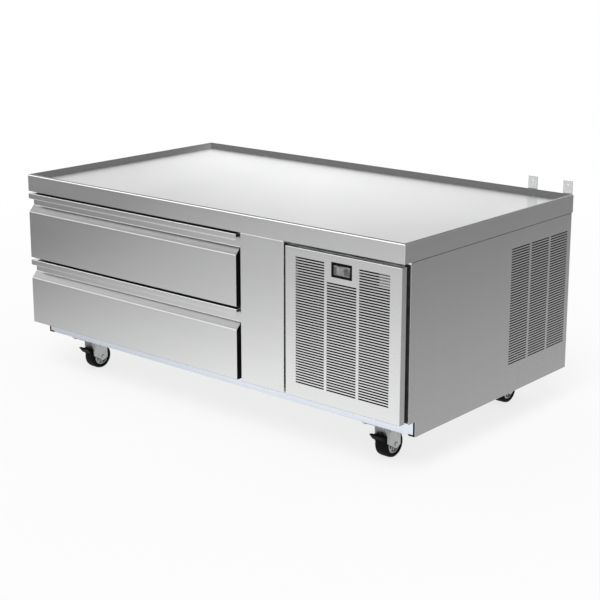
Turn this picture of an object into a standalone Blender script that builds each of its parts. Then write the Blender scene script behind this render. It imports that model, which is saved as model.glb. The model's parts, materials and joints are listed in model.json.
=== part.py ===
"""Refrigerated chef base: two drawers and a machine compartment under a raised-rim worktop, on casters.

Metres, +Z up. The origin is on the floor under the middle of the whole object, and the drawers face -Y.
A piece's sizes stand with it below. Places along X are measured from the worktop's left edge, and
places along Y from its front face.
"""

import math

import bmesh
import bpy
from mathutils import Matrix, Vector

# Gaps, sheets and overruns
SEAT = 0.0003
SHEET = 0.0012
FRAME_SHEET = 0.0015
OVERRUN = 0.010

# Worktop
WORKTOP_WIDTH = 1.426
WORKTOP_DEPTH = 0.803
WORKTOP_SHEET = 0.002
APRON_HEIGHT = 0.052
RIM_HEIGHT = 0.014
RIM_SLOPE_RUN = 0.014
RIM_LAND = 0.006
RIM_ROUND = 0.002

# Cabinet
CABINET_HEIGHT = 0.5122
FACE_SETBACK = 0.0297
FLANGE = 0.020
FACE_DROP = 0.003
RAIL_SETBACK = 0.0588
RAIL_SHEET = 0.0015
RAIL_FLANGE = 0.025
FOAM_WALL = 0.046
LINER_SHEET = 0.001
CAVITY_FLOOR_DROP = 0.004
CAVITY_TOP_RISE = 0.017
CAVITY_BEHIND_MULLION = 0.0383

# Fascia: drawer fronts, mullion panel and service panel
DRAWER_FRONT_SHARE = 0.60785
DRAWER_FRONT_HEIGHT = 0.1989
DRAWER_GAP = 0.008
APRON_GAP = 0.010
MULLION_GAP = 0.0163
MULLION_SHARE = 0.10764
SERVICE_GAP = 0.0059
SERVICE_END_MARGIN = 0.0078
SERVICE_THICKNESS = 0.019
HOOK_LENGTH = 0.030
HOOK_INSET = 0.060

# Drawer front
LIP_HEIGHT = 0.017
LIP_ROUND = 0.008
RECESS_DEPTH = 0.019
RECESS_HEIGHT = 0.021
EDGE_ROUND = 0.002
GASKET_SIDE_INSET = 0.026
GASKET_INSET = 0.003
GASKET_WIDTH = 0.012
SEAL_MARGIN = 0.006

# Machine opening in the face frame
MACHINE_STILE = 0.015
MACHINE_JAMB = 0.018
MACHINE_SILL = 0.018
MACHINE_HEAD = 0.030

# Louvre slots
SLOT_PITCH_SHARE = 0.017669
SLOT_HEIGHT_SHARE = 0.42
FRONT_COLUMN_SHARE = 0.27762
FRONT_SLOT_SHARE = 0.91563
FRONT_SLOT_ROWS = 48
ROWS_LOST_TO_DISPLAY = 7
FRONT_SLOT_TOP = 0.0258
SIDE_SLOT_LENGTH = 0.0905
SIDE_COLUMN_PITCH = 0.1005
SIDE_SLOT_ROWS = 46
SIDE_SLOT_TOP = 0.052
SIDE_SLOT_END = 0.023
SLOT_COLUMNS = 3

# Temperature display
BEZEL_WIDTH = 0.067
BEZEL_HEIGHT = 0.0365
BEZEL_BORDER = 0.0045
BEZEL_DEPTH = 0.006
BEZEL_TOP = 0.022
DISPLAY_RECESS = 0.0015
THERMOSTAT_DEPTH = 0.058

# Rear tabs
TAB_WIDTH = 0.030
TAB_SHEET = 0.002
TAB_RISE = 0.036
TAB_DROP = 0.097
TAB_JOGGLE_RISE = 0.006
TAB_HOLE_RADIUS = 0.003
TAB_HOLE_DROP = 0.012
OUTER_TAB_FROM_RIGHT = 0.0057
TAB_PITCH = 0.1143

# Drawer frame and slides
PAN_RAIL = 0.022
PAN_DIVIDER = 0.028
PAN_FRONT_RAIL = 0.040
PAN_REAR_RAIL = 0.014
FRAME_HEIGHT = 0.070
FRAME_TOP_GAP = 0.005
FRAME_WALL = 0.0025
RACK_LEFT_DEPTH = 0.008
RACK_RIGHT_DEPTH = 0.020
RACK_FRONT = 0.040
RACK_END_GAP = 0.0504
RACK_FROM_EVAPORATOR = 0.0122
RACK_WINDOW_WIDTH = 0.110
RACK_WINDOW_HEIGHT = 0.090
RACK_WINDOWS = 4
SLIDE_HEIGHT = 0.045
SLIDE_DEPTH = 0.012
SLIDE_WALL = 0.0015
SLIDE_PLAY = 0.0005
SLIDE_SHARE = 0.81818
FRAME_BEYOND_SLIDE = 0.020
SLIDE_FRONT = 0.045
FRAME_SIDE_PLAY = 0.0008

# Casters
CASTER_HEIGHT = 0.108
WHEEL_RADIUS = 0.038
WHEEL_WIDTH = 0.042
WHEEL_SIDES = 24
TREAD_ROUND = 0.005
HUB_RADIUS = 0.024
HUB_RECESS = 0.005
HUB_BOSS_RADIUS = 0.011
AXLE_RADIUS = 0.004
AXLE_HEAD_RADIUS = 0.0075
AXLE_HEAD = 0.003
WHEEL_SIDE_PLAY = 0.0008
CASTER_TRAIL = 0.0245
CASTER_SIDE_INSET = 0.140
FRONT_KINGPIN = 0.110
REAR_KINGPIN = 0.1365
PLATE_WIDTH = 0.080
PLATE_LENGTH = 0.095
PLATE_THICKNESS = 0.0035
PLATE_CORNER = 0.006
RACE_RADIUS = 0.024
RACE_HEIGHT = 0.006
KINGPIN_RADIUS = 0.005
FORK_SHEET = 0.003
FORK_TOP_FRONT = 0.039
FORK_TOP_REAR = 0.020
FORK_TIP_DROP = 0.012
FORK_TIP_HALF = 0.009
FORK_SHOULDER = 0.006
PEDAL_SHEET = 0.003
PEDAL_WHEEL_GAP = 0.005
PEDAL_PIN_RADIUS = 0.0025
PEDAL_BOSS_RADIUS = 0.0055
PEDAL_PIN_FORWARD = 0.026
PEDAL_PIN_RISE = 0.040
PEDAL_REACH = 0.075
PEDAL_TIP_RISE = 0.043
PEDAL_ARCH_BACK_DEG = 96.0
PEDAL_ARCH_FRONT_DEG = 152.0
PEDAL_LEVER_ROOT_DEG = 10.0
PEDAL_SIDE_PLAY = 0.001
BORE_PLAY = 0.0004

# Condensing unit
COMPARTMENT_CLEARANCE = 0.010
TRAY_FRONT = 0.090
TRAY_REAR_GAP = 0.068
TRAY_LIP = 0.020
COIL_SIDE_INSET = 0.030
COIL_FRONT = 0.100
COIL_THICKNESS = 0.050
COIL_HEIGHT = 0.340
SHROUD_DEPTH = 0.034
ORIFICE_SHARE = 0.4055
FAN_TIP_GAP = 0.006
FAN_HUB_RADIUS = 0.030
FAN_DEPTH = 0.024
FAN_BLADES = 5
BLADE_SHEET = 0.002
BLADE_PITCH_DEG = 28.0
FAN_MOTOR_RADIUS = 0.040
FAN_MOTOR_LENGTH = 0.060
FAN_SHAFT_RADIUS = 0.004
FAN_STRAP_WIDTH = 0.018
FAN_STRAP_SHEET = 0.003
FAN_STRAP_SETBACK = 0.0045
FAN_MOTOR_CHAMFER = 0.008
COMPRESSOR_RADIUS = 0.095
COMPRESSOR_HEIGHT = 0.235
COMPRESSOR_FROM_TRAY_END = 0.210
COMPRESSOR_FOOT = 0.115
COMPRESSOR_FOOT_HEIGHT = 0.018
COMPRESSOR_DOME = 0.043
COMPRESSOR_HEEL = 0.026
COMPRESSOR_HEEL_RADIUS = 0.076

# Evaporator
HOUSING_DEPTH = 0.106
HOUSING_FRONT = 0.150
HOUSING_LENGTH = 0.430
HOUSING_HEIGHT = 0.300
EVAPORATOR_FRONT = 0.020
EVAPORATOR_LENGTH = 0.160
EVAPORATOR_PLACE = 0.100
EVAPORATOR_ORIFICE_RADIUS = 0.075
EVAPORATOR_FAN_DEPTH = 0.016
EVAPORATOR_HUB_RADIUS = 0.018
EVAPORATOR_MOTOR_RADIUS = 0.028
EVAPORATOR_MOTOR_LENGTH = 0.042

# Services
JUNCTION_BOX_WIDTH = 0.078
JUNCTION_BOX_DEPTH = 0.060
JUNCTION_BOX_HEIGHT = 0.034
JUNCTION_BOX_TOP = 0.044
SUCTION_RADIUS = 0.006
LIQUID_RADIUS = 0.004
LINE_BEND = 0.025
LINE_WALL_PLACE = 0.250
SUCTION_HEIGHT = 0.380
LIQUID_HEIGHT = 0.330
LINE_HOLE_PLAY = 0.001
GLAND_RADIUS = 0.013
GLAND_FLANGE_RADIUS = 0.018
GLAND_FLANGE = 0.0015
GLAND_LENGTH = 0.022
GLAND_BORE_RADIUS = 0.005
GLAND_HEIGHT = 0.190
GLAND_FROM_RIGHT = 0.200

# Round pieces
SMOOTH_BELOW_DEG = 35.0
WELD_DISTANCE = 0.000003
COARSE_SIDES = 16
FINE_SIDES = 32
ROUND_STEPS = 4

# Places that follow from the sizes above
LEFT = -WORKTOP_WIDTH / 2
RIGHT = WORKTOP_WIDTH / 2
FRONT = -(WORKTOP_DEPTH + SEAT + TAB_SHEET) / 2
BACK = FRONT + WORKTOP_DEPTH
BASE_PAN_BOTTOM = CASTER_HEIGHT + SEAT
BASE_PAN_TOP = BASE_PAN_BOTTOM + FRAME_SHEET
CABINET_BOTTOM = BASE_PAN_BOTTOM - SEAT - SHEET
RIM_TOP = CABINET_BOTTOM + CABINET_HEIGHT
APRON_BOTTOM = RIM_TOP - APRON_HEIGHT
DECK_TOP = RIM_TOP - RIM_HEIGHT
DECK_UNDERSIDE = DECK_TOP - WORKTOP_SHEET
SKIN_TOP = DECK_UNDERSIDE - SEAT
SKIN_LEFT = LEFT + WORKTOP_SHEET + SEAT
SKIN_RIGHT = RIGHT - WORKTOP_SHEET - SEAT
SKIN_BACK = BACK - WORKTOP_SHEET - SEAT
INNER_LEFT = SKIN_LEFT + SHEET + SEAT
INNER_RIGHT = SKIN_RIGHT - SHEET - SEAT
BACK_PANEL_OUTER = SKIN_BACK - SHEET - SEAT
BACK_PANEL_INNER = BACK_PANEL_OUTER - SHEET
FACE = FRONT + FACE_SETBACK
FACE_REAR = FACE + FRAME_SHEET
RAIL_FRONT = FRONT + RAIL_SETBACK

UPPER_FRONT_BOTTOM = APRON_BOTTOM - APRON_GAP - DRAWER_FRONT_HEIGHT
LOWER_FRONT_BOTTOM = UPPER_FRONT_BOTTOM - DRAWER_GAP - DRAWER_FRONT_HEIGHT
FASCIA_BOTTOM = LOWER_FRONT_BOTTOM
FACE_BOTTOM = FASCIA_BOTTOM - FACE_DROP
DRAWER_RIGHT = LEFT + WORKTOP_WIDTH * DRAWER_FRONT_SHARE
MULLION_LEFT = DRAWER_RIGHT + MULLION_GAP
MULLION_RIGHT = MULLION_LEFT + WORKTOP_WIDTH * MULLION_SHARE
SERVICE_LEFT = MULLION_RIGHT + SERVICE_GAP
SERVICE_RIGHT = RIGHT - SERVICE_END_MARGIN
SERVICE_TOP = APRON_BOTTOM - APRON_GAP
SERVICE_CENTRE = (SERVICE_LEFT + SERVICE_RIGHT) / 2
SLOT_PITCH = (SERVICE_TOP - FASCIA_BOTTOM) * SLOT_PITCH_SHARE
SLOT_HEIGHT = SLOT_PITCH * SLOT_HEIGHT_SHARE
FRONT_COLUMN_PITCH = (SERVICE_RIGHT - SERVICE_LEFT) * FRONT_COLUMN_SHARE
FRONT_SLOT_LENGTH = FRONT_COLUMN_PITCH * FRONT_SLOT_SHARE

DRAWER_FRONT_THICKNESS = RECESS_DEPTH + SHEET
OPENING_INSET = GASKET_INSET + GASKET_WIDTH + SEAL_MARGIN
OPENING_RISE = DRAWER_FRONT_HEIGHT - OPENING_INSET
OPENING_RIGHT = DRAWER_RIGHT - GASKET_SIDE_INSET - GASKET_WIDTH - SEAL_MARGIN

LINER_LEFT = INNER_LEFT + FOAM_WALL + SEAT
LINER_RIGHT = DRAWER_RIGHT + CAVITY_BEHIND_MULLION
LINER_BACK = BACK_PANEL_INNER - SEAT - FOAM_WALL - SEAT
LINER_BOTTOM = LOWER_FRONT_BOTTOM + OPENING_INSET - CAVITY_FLOOR_DROP - LINER_SHEET
LINER_TOP = UPPER_FRONT_BOTTOM + OPENING_RISE + CAVITY_TOP_RISE + LINER_SHEET
LINER_FRONT = FACE_REAR + SEAT
CAVITY_LEFT = LINER_LEFT + LINER_SHEET
CAVITY_RIGHT = LINER_RIGHT - LINER_SHEET
CAVITY_FLOOR = LINER_BOTTOM + LINER_SHEET
CAVITY_TOP = LINER_TOP - LINER_SHEET
PARTITION_RIGHT = LINER_RIGHT + SEAT + FOAM_WALL
FOAM_TOP = APRON_BOTTOM
CORE_BOTTOM = FOAM_TOP + SEAT

HOUSING_RIGHT = CAVITY_RIGHT - SEAT
HOUSING_LEFT = HOUSING_RIGHT - HOUSING_DEPTH
HOUSING_Y = FRONT + HOUSING_FRONT
HOUSING_BACK = HOUSING_Y + HOUSING_LENGTH
HOUSING_MID_Z = (CAVITY_FLOOR + CAVITY_TOP) / 2
EVAPORATOR_FAN_Y = HOUSING_BACK - EVAPORATOR_PLACE

RACK_LENGTH = LINER_BACK - LINER_SHEET - RACK_END_GAP - FRONT - RACK_FRONT
RACK_LEFT_FACE = CAVITY_LEFT + SEAT + RACK_LEFT_DEPTH
RACK_RIGHT_FACE = HOUSING_LEFT - RACK_FROM_EVAPORATOR - RACK_RIGHT_DEPTH
SLIDE_LENGTH = RACK_LENGTH * SLIDE_SHARE
FRAME_LEFT = RACK_LEFT_FACE + SEAT + SLIDE_DEPTH + FRAME_SIDE_PLAY
FRAME_RIGHT = RACK_RIGHT_FACE - SEAT - SLIDE_DEPTH - FRAME_SIDE_PLAY
FRAME_LENGTH = SLIDE_LENGTH + FRAME_BEYOND_SLIDE
PAN_WIDTH = (FRAME_RIGHT - FRAME_LEFT - PAN_DIVIDER) / 2 - PAN_RAIL
PAN_LENGTH = FRAME_LENGTH - PAN_FRONT_RAIL - PAN_REAR_RAIL
FRAME_FRONT = FRONT + DRAWER_FRONT_THICKNESS + SEAT
FRAME_TOP_RISE = OPENING_RISE - FRAME_TOP_GAP
SLIDE_MID_RISE = FRAME_TOP_RISE - FRAME_HEIGHT / 2

COIL_LEFT = SERVICE_LEFT + COIL_SIDE_INSET
COIL_RIGHT = SERVICE_RIGHT - COIL_SIDE_INSET
COIL_BOTTOM = BASE_PAN_TOP + SEAT + FRAME_SHEET + SEAT
COIL_TOP = COIL_BOTTOM + COIL_HEIGHT
COIL_BACK = FRONT + COIL_FRONT + COIL_THICKNESS
SHROUD_FRONT = COIL_BACK + SEAT
SHROUD_BACK = SHROUD_FRONT + SHROUD_DEPTH
FAN_CENTRE_Z = (COIL_BOTTOM + COIL_TOP) / 2
ORIFICE_RADIUS = (COIL_RIGHT - COIL_LEFT) * ORIFICE_SHARE
TRAY_BACK = BACK_PANEL_INNER - TRAY_REAR_GAP
COMPRESSOR_CENTRE = Vector((SERVICE_CENTRE, TRAY_BACK - COMPRESSOR_FROM_TRAY_END, COIL_BOTTOM))

AXLE_RISE = WHEEL_RADIUS
WHEEL_HALF = WHEEL_WIDTH / 2
FORK_INNER_HALF = WHEEL_HALF + WHEEL_SIDE_PLAY
FORK_OUTER_HALF = FORK_INNER_HALF + FORK_SHEET
PLATE_BOTTOM = CASTER_HEIGHT - PLATE_THICKNESS
FORK_TOP = PLATE_BOTTOM - RACE_HEIGHT - SEAT


def material(name, colour, roughness, metallic):
    """A Principled material, made once for each name."""
    found = bpy.data.materials.get(name)
    if found:
        return found
    made = bpy.data.materials.new(name)
    made.use_nodes = True
    shader = made.node_tree.nodes["Principled BSDF"]
    shader.inputs["Base Color"].default_value = (*colour, 1.0)
    shader.inputs["Roughness"].default_value = roughness
    shader.inputs["Metallic"].default_value = metallic
    made.diffuse_color = (*colour, 1.0)
    return made


def stainless():
    return material("brushed_stainless", (0.62, 0.63, 0.64), 0.32, 1.0)


def galvanised():
    return material("galvanised_sheet", (0.60, 0.62, 0.64), 0.45, 1.0)


def zinc_steel():
    return material("zinc_plated_steel", (0.66, 0.67, 0.68), 0.35, 1.0)


def foam():
    return material("insulating_foam", (0.86, 0.78, 0.52), 0.90, 0.0)


def board():
    return material("worktop_board", (0.62, 0.49, 0.33), 0.85, 0.0)


def gasket_vinyl():
    return material("gasket_vinyl", (0.02, 0.02, 0.02), 0.60, 0.0)


def black_plastic():
    return material("black_plastic", (0.015, 0.015, 0.017), 0.35, 0.0)


def display_glass():
    return material("display_window", (0.16, 0.17, 0.18), 0.15, 0.0)


def tyre_rubber():
    return material("caster_rubber", (0.02, 0.02, 0.02), 0.55, 0.0)


def black_enamel():
    return material("black_enamel", (0.02, 0.02, 0.022), 0.40, 0.2)


def copper():
    return material("copper_tube", (0.72, 0.42, 0.29), 0.30, 1.0)


def fin_aluminium():
    return material("fin_aluminium", (0.70, 0.71, 0.72), 0.40, 1.0)


def white_plastic():
    return material("white_plastic", (0.80, 0.80, 0.78), 0.50, 0.0)


def add_object(name, bm, finish=None, smooth=False):
    """An object of the bmesh, with its faces pointing out."""
    bmesh.ops.recalc_face_normals(bm, faces=bm.faces)
    mesh = bpy.data.meshes.new(name)
    bm.to_mesh(mesh)
    bm.free()
    if smooth:
        mesh.shade_smooth()
        mesh.set_sharp_from_angle(angle=math.radians(SMOOTH_BELOW_DEG))
    if finish:
        mesh.materials.append(finish)
    made = bpy.data.objects.new(name, mesh)
    bpy.context.scene.collection.objects.link(made)
    return made


def add_block(bm, low, high):
    size = Vector(high) - Vector(low)
    middle = (Vector(high) + Vector(low)) / 2
    place = Matrix.Translation(middle) @ Matrix.Diagonal((*size, 1.0))
    return bmesh.ops.create_cube(bm, size=1.0, matrix=place)["verts"]


def block(name, low, high, finish):
    bm = bmesh.new()
    add_block(bm, low, high)
    return add_object(name, bm, finish)


def blocks(name, corner_pairs):
    """One cutting or joining tool of several separate blocks."""
    bm = bmesh.new()
    for low, high in corner_pairs:
        add_block(bm, low, high)
    return add_object(name, bm)


def tray(name, low, high, wall, open_side, finish):
    """A sheet-metal tray: a box with one side open, its floor and walls as thick as the sheet."""
    axis = "XYZ".index(open_side[1])
    sign = 1 if open_side[0] == "+" else -1
    bm = bmesh.new()
    add_block(bm, low, high)
    bm.normal_update()
    face = max(bm.faces, key=lambda each: sign * each.normal[axis])
    bmesh.ops.inset_individual(bm, faces=[face], thickness=wall, use_even_offset=True)
    pushed = bmesh.ops.extrude_discrete_faces(bm, faces=[face])["faces"][0]
    depth = high[axis] - low[axis] - wall
    bmesh.ops.translate(bm, verts=pushed.verts, vec=-pushed.normal * depth)
    return add_object(name, bm, finish)


def prism(name, axis, start, end, outline, finish=None, smooth=False):
    """An outline drawn across one axis and extruded along it. The outline's points hold the other two."""
    bm = bmesh.new()
    at = "XYZ".index(axis)
    along = Vector((0, 0, 0))
    along[at] = end - start
    face = bm.faces.new([bm.verts.new((*point[:at], start, *point[at:])) for point in outline])
    pushed = bmesh.ops.extrude_face_region(bm, geom=[face])["geom"]
    moved = [each for each in pushed if isinstance(each, bmesh.types.BMVert)]
    bmesh.ops.translate(bm, verts=moved, vec=along)
    return add_object(name, bm, finish, smooth)


def turned_from_z(axis):
    """The turn that takes +Z onto another axis."""
    if axis == "X":
        return Matrix.Rotation(math.pi / 2, 4, "Y")
    if axis == "Y":
        return Matrix.Rotation(-math.pi / 2, 4, "X")
    return Matrix()


def turned(name, axis, centre, profile, sides, finish=None, flat_down=False):
    """A profile of (radius, place along the axis), turned. One that is off the axis closes as a ring."""
    bm = bmesh.new()
    line = [bm.verts.new((radius, 0, along)) for radius, along in profile]
    pairs = list(zip(line, line[1:]))
    if min(radius for radius, _ in profile) > 0:
        pairs.append((line[-1], line[0]))
    edges = [bm.edges.new(pair) for pair in pairs]
    if flat_down:
        bmesh.ops.rotate(bm, verts=line, matrix=Matrix.Rotation(math.pi / sides, 3, "Z"))
    bmesh.ops.spin(bm, geom=line + edges, axis=(0, 0, 1), angle=math.tau, steps=sides, use_merge=True)
    bmesh.ops.remove_doubles(bm, verts=bm.verts, dist=WELD_DISTANCE)
    bm.transform(Matrix.Translation(centre) @ turned_from_z(axis))
    return add_object(name, bm, finish, smooth=True)


def rod(name, axis, centre, radius, start, end, sides=COARSE_SIDES, finish=None):
    profile = [(0, start), (radius, start), (radius, end), (0, end)]
    return turned(name, axis, centre, profile, sides, finish)


def hide_tool(tool):
    tool.hide_render = True
    tool.display_type = "WIRE"


def combine(piece, tool, operation):
    step = piece.modifiers.new(tool.name, "BOOLEAN")
    step.operation = operation
    step.solver = "EXACT"
    step.object = tool
    hide_tool(tool)


def cut(piece, tool):
    combine(piece, tool, "DIFFERENCE")


def join(piece, tool):
    combine(piece, tool, "UNION")


def settled(piece):
    """The piece's mesh with its modifiers applied and their tools removed, ready to be shared by copies."""
    tools = [step.object for step in piece.modifiers]
    graph = bpy.context.evaluated_depsgraph_get()
    mesh = bpy.data.meshes.new_from_object(piece.evaluated_get(graph))
    for unwanted in [piece, *tools]:
        bpy.data.objects.remove(unwanted)
    return mesh


def place_copy(name, mesh, place, parent=None):
    """An object of a shared mesh at a place in the world, under a parent that isn't turned."""
    made = bpy.data.objects.new(name, mesh)
    bpy.context.scene.collection.objects.link(made)
    if parent:
        made.parent = parent
        made.location = Vector(place) - parent.matrix_world.translation
    else:
        made.location = place
    return made


def add_empty(name, place):
    made = bpy.data.objects.new(name, None)
    made.location = place
    bpy.context.scene.collection.objects.link(made)
    bpy.context.view_layer.update()
    return made


def arc(centre, radius, start_deg, end_deg, steps):
    """Points on an arc in an outline's own plane, both ends included."""
    angles = [math.radians(start_deg + (end_deg - start_deg) * i / steps) for i in range(steps + 1)]
    return [(centre[0] + radius * math.cos(a), centre[1] + radius * math.sin(a)) for a in angles]


# Worktop


def build_worktop():
    """One pan: deck, sloped raised rim with a narrow land, and an apron all round, mitred at the corners."""
    land_inner = RIM_LAND
    slope_end = RIM_LAND + RIM_SLOPE_RUN
    under_land = RIM_TOP - WORKTOP_SHEET
    corner = arc((RIM_ROUND, RIM_TOP - RIM_ROUND), RIM_ROUND, 180, 90, 2)
    outside = [(0, APRON_BOTTOM), *corner, (land_inner, RIM_TOP), (slope_end, DECK_TOP)]
    inside = [(slope_end, DECK_UNDERSIDE), (land_inner, under_land), (WORKTOP_SHEET, under_land),
              (WORKTOP_SHEET, APRON_BOTTOM)]
    bm = bmesh.new()
    rings = []
    for inset, z in outside + inside:
        low_x, high_x = LEFT + inset, RIGHT - inset
        low_y, high_y = FRONT + inset, BACK - inset
        square = [(low_x, low_y, z), (high_x, low_y, z), (high_x, high_y, z), (low_x, high_y, z)]
        rings.append([bm.verts.new(place) for place in square])
    deck, underside = rings[len(outside) - 1], rings[len(outside)]
    for first, second in zip(rings, rings[1:] + rings[:1]):
        if first is deck:
            continue
        for i in range(4):
            j = (i + 1) % 4
            bm.faces.new((first[i], first[j], second[j], second[i]))
    bm.faces.new(deck)
    bm.faces.new(underside)
    return add_object("worktop", bm, stainless())


def build_worktop_core():
    low = (SKIN_LEFT + FLANGE + SEAT, FACE_REAR + SEAT, CORE_BOTTOM)
    high = (SKIN_RIGHT - FLANGE - SEAT, BACK_PANEL_INNER - SEAT, SKIN_TOP)
    return block("worktop_core", low, high, board())


# Cabinet


def notch_tool(name):
    """The toe notch under the face, across the whole width."""
    low = (LEFT - OVERRUN, FACE - OVERRUN, CABINET_BOTTOM - OVERRUN)
    return block(name, low, (RIGHT + OVERRUN, RAIL_FRONT, FACE_BOTTOM), None)


def build_left_side_panel():
    low = (SKIN_LEFT, FACE, CABINET_BOTTOM)
    panel = tray("left_side_panel", low, (SKIN_LEFT + FLANGE, SKIN_BACK, SKIN_TOP), SHEET, "+X", stainless())
    cut(panel, notch_tool("left_notch_tool"))
    return panel


def build_right_side_panel():
    low = (SKIN_RIGHT - FLANGE, FACE, CABINET_BOTTOM)
    panel = tray("right_side_panel", low, (SKIN_RIGHT, SKIN_BACK, SKIN_TOP), SHEET, "-X", stainless())
    cut(panel, notch_tool("right_notch_tool"))
    slots = []
    for column in range(SLOT_COLUMNS):
        end = BACK - SIDE_SLOT_END - column * SIDE_COLUMN_PITCH
        for row in range(SIDE_SLOT_ROWS):
            z = APRON_BOTTOM - SIDE_SLOT_TOP - row * SLOT_PITCH
            low = (SKIN_RIGHT - 2 * SHEET, end - SIDE_SLOT_LENGTH, z - SLOT_HEIGHT / 2)
            slots.append((low, (SKIN_RIGHT + SHEET, end, z + SLOT_HEIGHT / 2)))
    cut(panel, blocks("side_slot_tool", slots))
    return panel


def build_back_panel():
    low = (INNER_LEFT, BACK_PANEL_INNER, BASE_PAN_TOP + SEAT)
    high = (INNER_RIGHT, BACK_PANEL_OUTER, SKIN_TOP - SHEET - SEAT)
    panel = block("back_panel", low, high, galvanised())
    centre = (RIGHT - GLAND_FROM_RIGHT, BACK_PANEL_INNER, GLAND_HEIGHT)
    cut(panel, rod("gland_hole_tool", "Y", centre, GLAND_RADIUS + SEAT, -OVERRUN, OVERRUN))
    return panel


def build_base_pan():
    low = (INNER_LEFT, RAIL_FRONT + RAIL_SHEET + SEAT, BASE_PAN_BOTTOM)
    return block("base_pan", low, (INNER_RIGHT, BACK_PANEL_OUTER, BASE_PAN_TOP), galvanised())


def build_front_rail():
    """An angle: the pale strip under the fascia, with its upper edge folded back under the cabinet."""
    top = FACE_BOTTOM - SEAT
    outline = [(RAIL_FRONT, BASE_PAN_BOTTOM), (RAIL_FRONT, top), (RAIL_FRONT + RAIL_FLANGE, top),
               (RAIL_FRONT + RAIL_FLANGE, top - RAIL_SHEET), (RAIL_FRONT + RAIL_SHEET, top - RAIL_SHEET),
               (RAIL_FRONT + RAIL_SHEET, BASE_PAN_BOTTOM)]
    return prism("front_rail", "X", INNER_LEFT, INNER_RIGHT, outline, galvanised())


def line_hole_tool(name, radius, z):
    centre = (LINER_RIGHT, FRONT + LINE_WALL_PLACE, z)
    return rod(name, "X", centre, radius + LINE_HOLE_PLAY, -OVERRUN, FOAM_WALL + OVERRUN)


def build_foam_body():
    """The insulated body: a block of foam with the cold room open to the front and a step over the rail."""
    low = (INNER_LEFT, FACE_REAR + SEAT, BASE_PAN_TOP + SEAT)
    body = block("foam_body", low, (PARTITION_RIGHT, BACK_PANEL_INNER - SEAT, FOAM_TOP), foam())
    room_low = (LINER_LEFT - SEAT, LINER_FRONT - OVERRUN, LINER_BOTTOM - SEAT)
    room_high = (LINER_RIGHT + SEAT, LINER_BACK + SEAT, LINER_TOP + SEAT)
    cut(body, block("cold_room_tool", room_low, room_high, None))
    step_low = (LEFT, FACE, CABINET_BOTTOM)
    step_high = (RIGHT, RAIL_FRONT + RAIL_FLANGE + SEAT, FACE_BOTTOM)
    cut(body, block("rail_step_tool", step_low, step_high, None))
    flange = SKIN_LEFT + FLANGE + SEAT
    side_flanges = [((LEFT, FACE, FACE_BOTTOM), (flange, FACE + SHEET + SEAT, RIM_TOP)),
                    ((LEFT, SKIN_BACK - SHEET - SEAT, CABINET_BOTTOM), (flange, BACK, RIM_TOP))]
    cut(body, blocks("side_flange_tool", side_flanges))
    cut(body, line_hole_tool("foam_suction_hole_tool", SUCTION_RADIUS, SUCTION_HEIGHT))
    cut(body, line_hole_tool("foam_liquid_hole_tool", LIQUID_RADIUS, LIQUID_HEIGHT))
    return body


def build_liner():
    low = (LINER_LEFT, LINER_FRONT, LINER_BOTTOM)
    liner = tray("liner", low, (LINER_RIGHT, LINER_BACK, LINER_TOP), LINER_SHEET, "-Y", stainless())
    cut(liner, line_hole_tool("liner_suction_hole_tool", SUCTION_RADIUS, SUCTION_HEIGHT))
    cut(liner, line_hole_tool("liner_liquid_hole_tool", LIQUID_RADIUS, LIQUID_HEIGHT))
    return liner


def build_face_frame():
    """The face that the gaskets seal on, with the two drawer openings and the machine opening."""
    low = (SKIN_LEFT + FLANGE + SEAT, FACE, FACE_BOTTOM)
    high = (SKIN_RIGHT - FLANGE - SEAT, FACE_REAR, SKIN_TOP)
    frame = block("face_frame", low, high, stainless())
    near, far = FACE - OVERRUN, FACE_REAR + OVERRUN
    openings = [((CAVITY_LEFT, near, bottom + OPENING_INSET), (OPENING_RIGHT, far, bottom + OPENING_RISE))
                for bottom in (LOWER_FRONT_BOTTOM, UPPER_FRONT_BOTTOM)]
    machine_low = (SERVICE_LEFT + MACHINE_JAMB, near, FACE_BOTTOM + MACHINE_SILL)
    openings.append((machine_low, (high[0] - MACHINE_STILE, far, APRON_BOTTOM - MACHINE_HEAD)))
    cut(frame, blocks("face_opening_tool", openings))
    return frame


# Fascia


def build_mullion_panel():
    low = (MULLION_LEFT, FRONT, FASCIA_BOTTOM)
    high = (MULLION_RIGHT, FACE - SEAT, APRON_BOTTOM - SEAT)
    return tray("mullion_panel", low, high, SHEET, "+Y", stainless())


def display_middle():
    return Vector((SERVICE_CENTRE, FRONT, SERVICE_TOP - BEZEL_TOP - BEZEL_HEIGHT / 2))


def display_block(name, width, height, start, end, finish=None):
    """A block centred on the display, from one depth behind the front face to another."""
    middle = display_middle()
    half = Vector((width / 2, 0, height / 2))
    low, high = middle - half, middle + half
    return block(name, (low.x, FRONT + start, low.z), (high.x, FRONT + end, high.z), finish)


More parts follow.
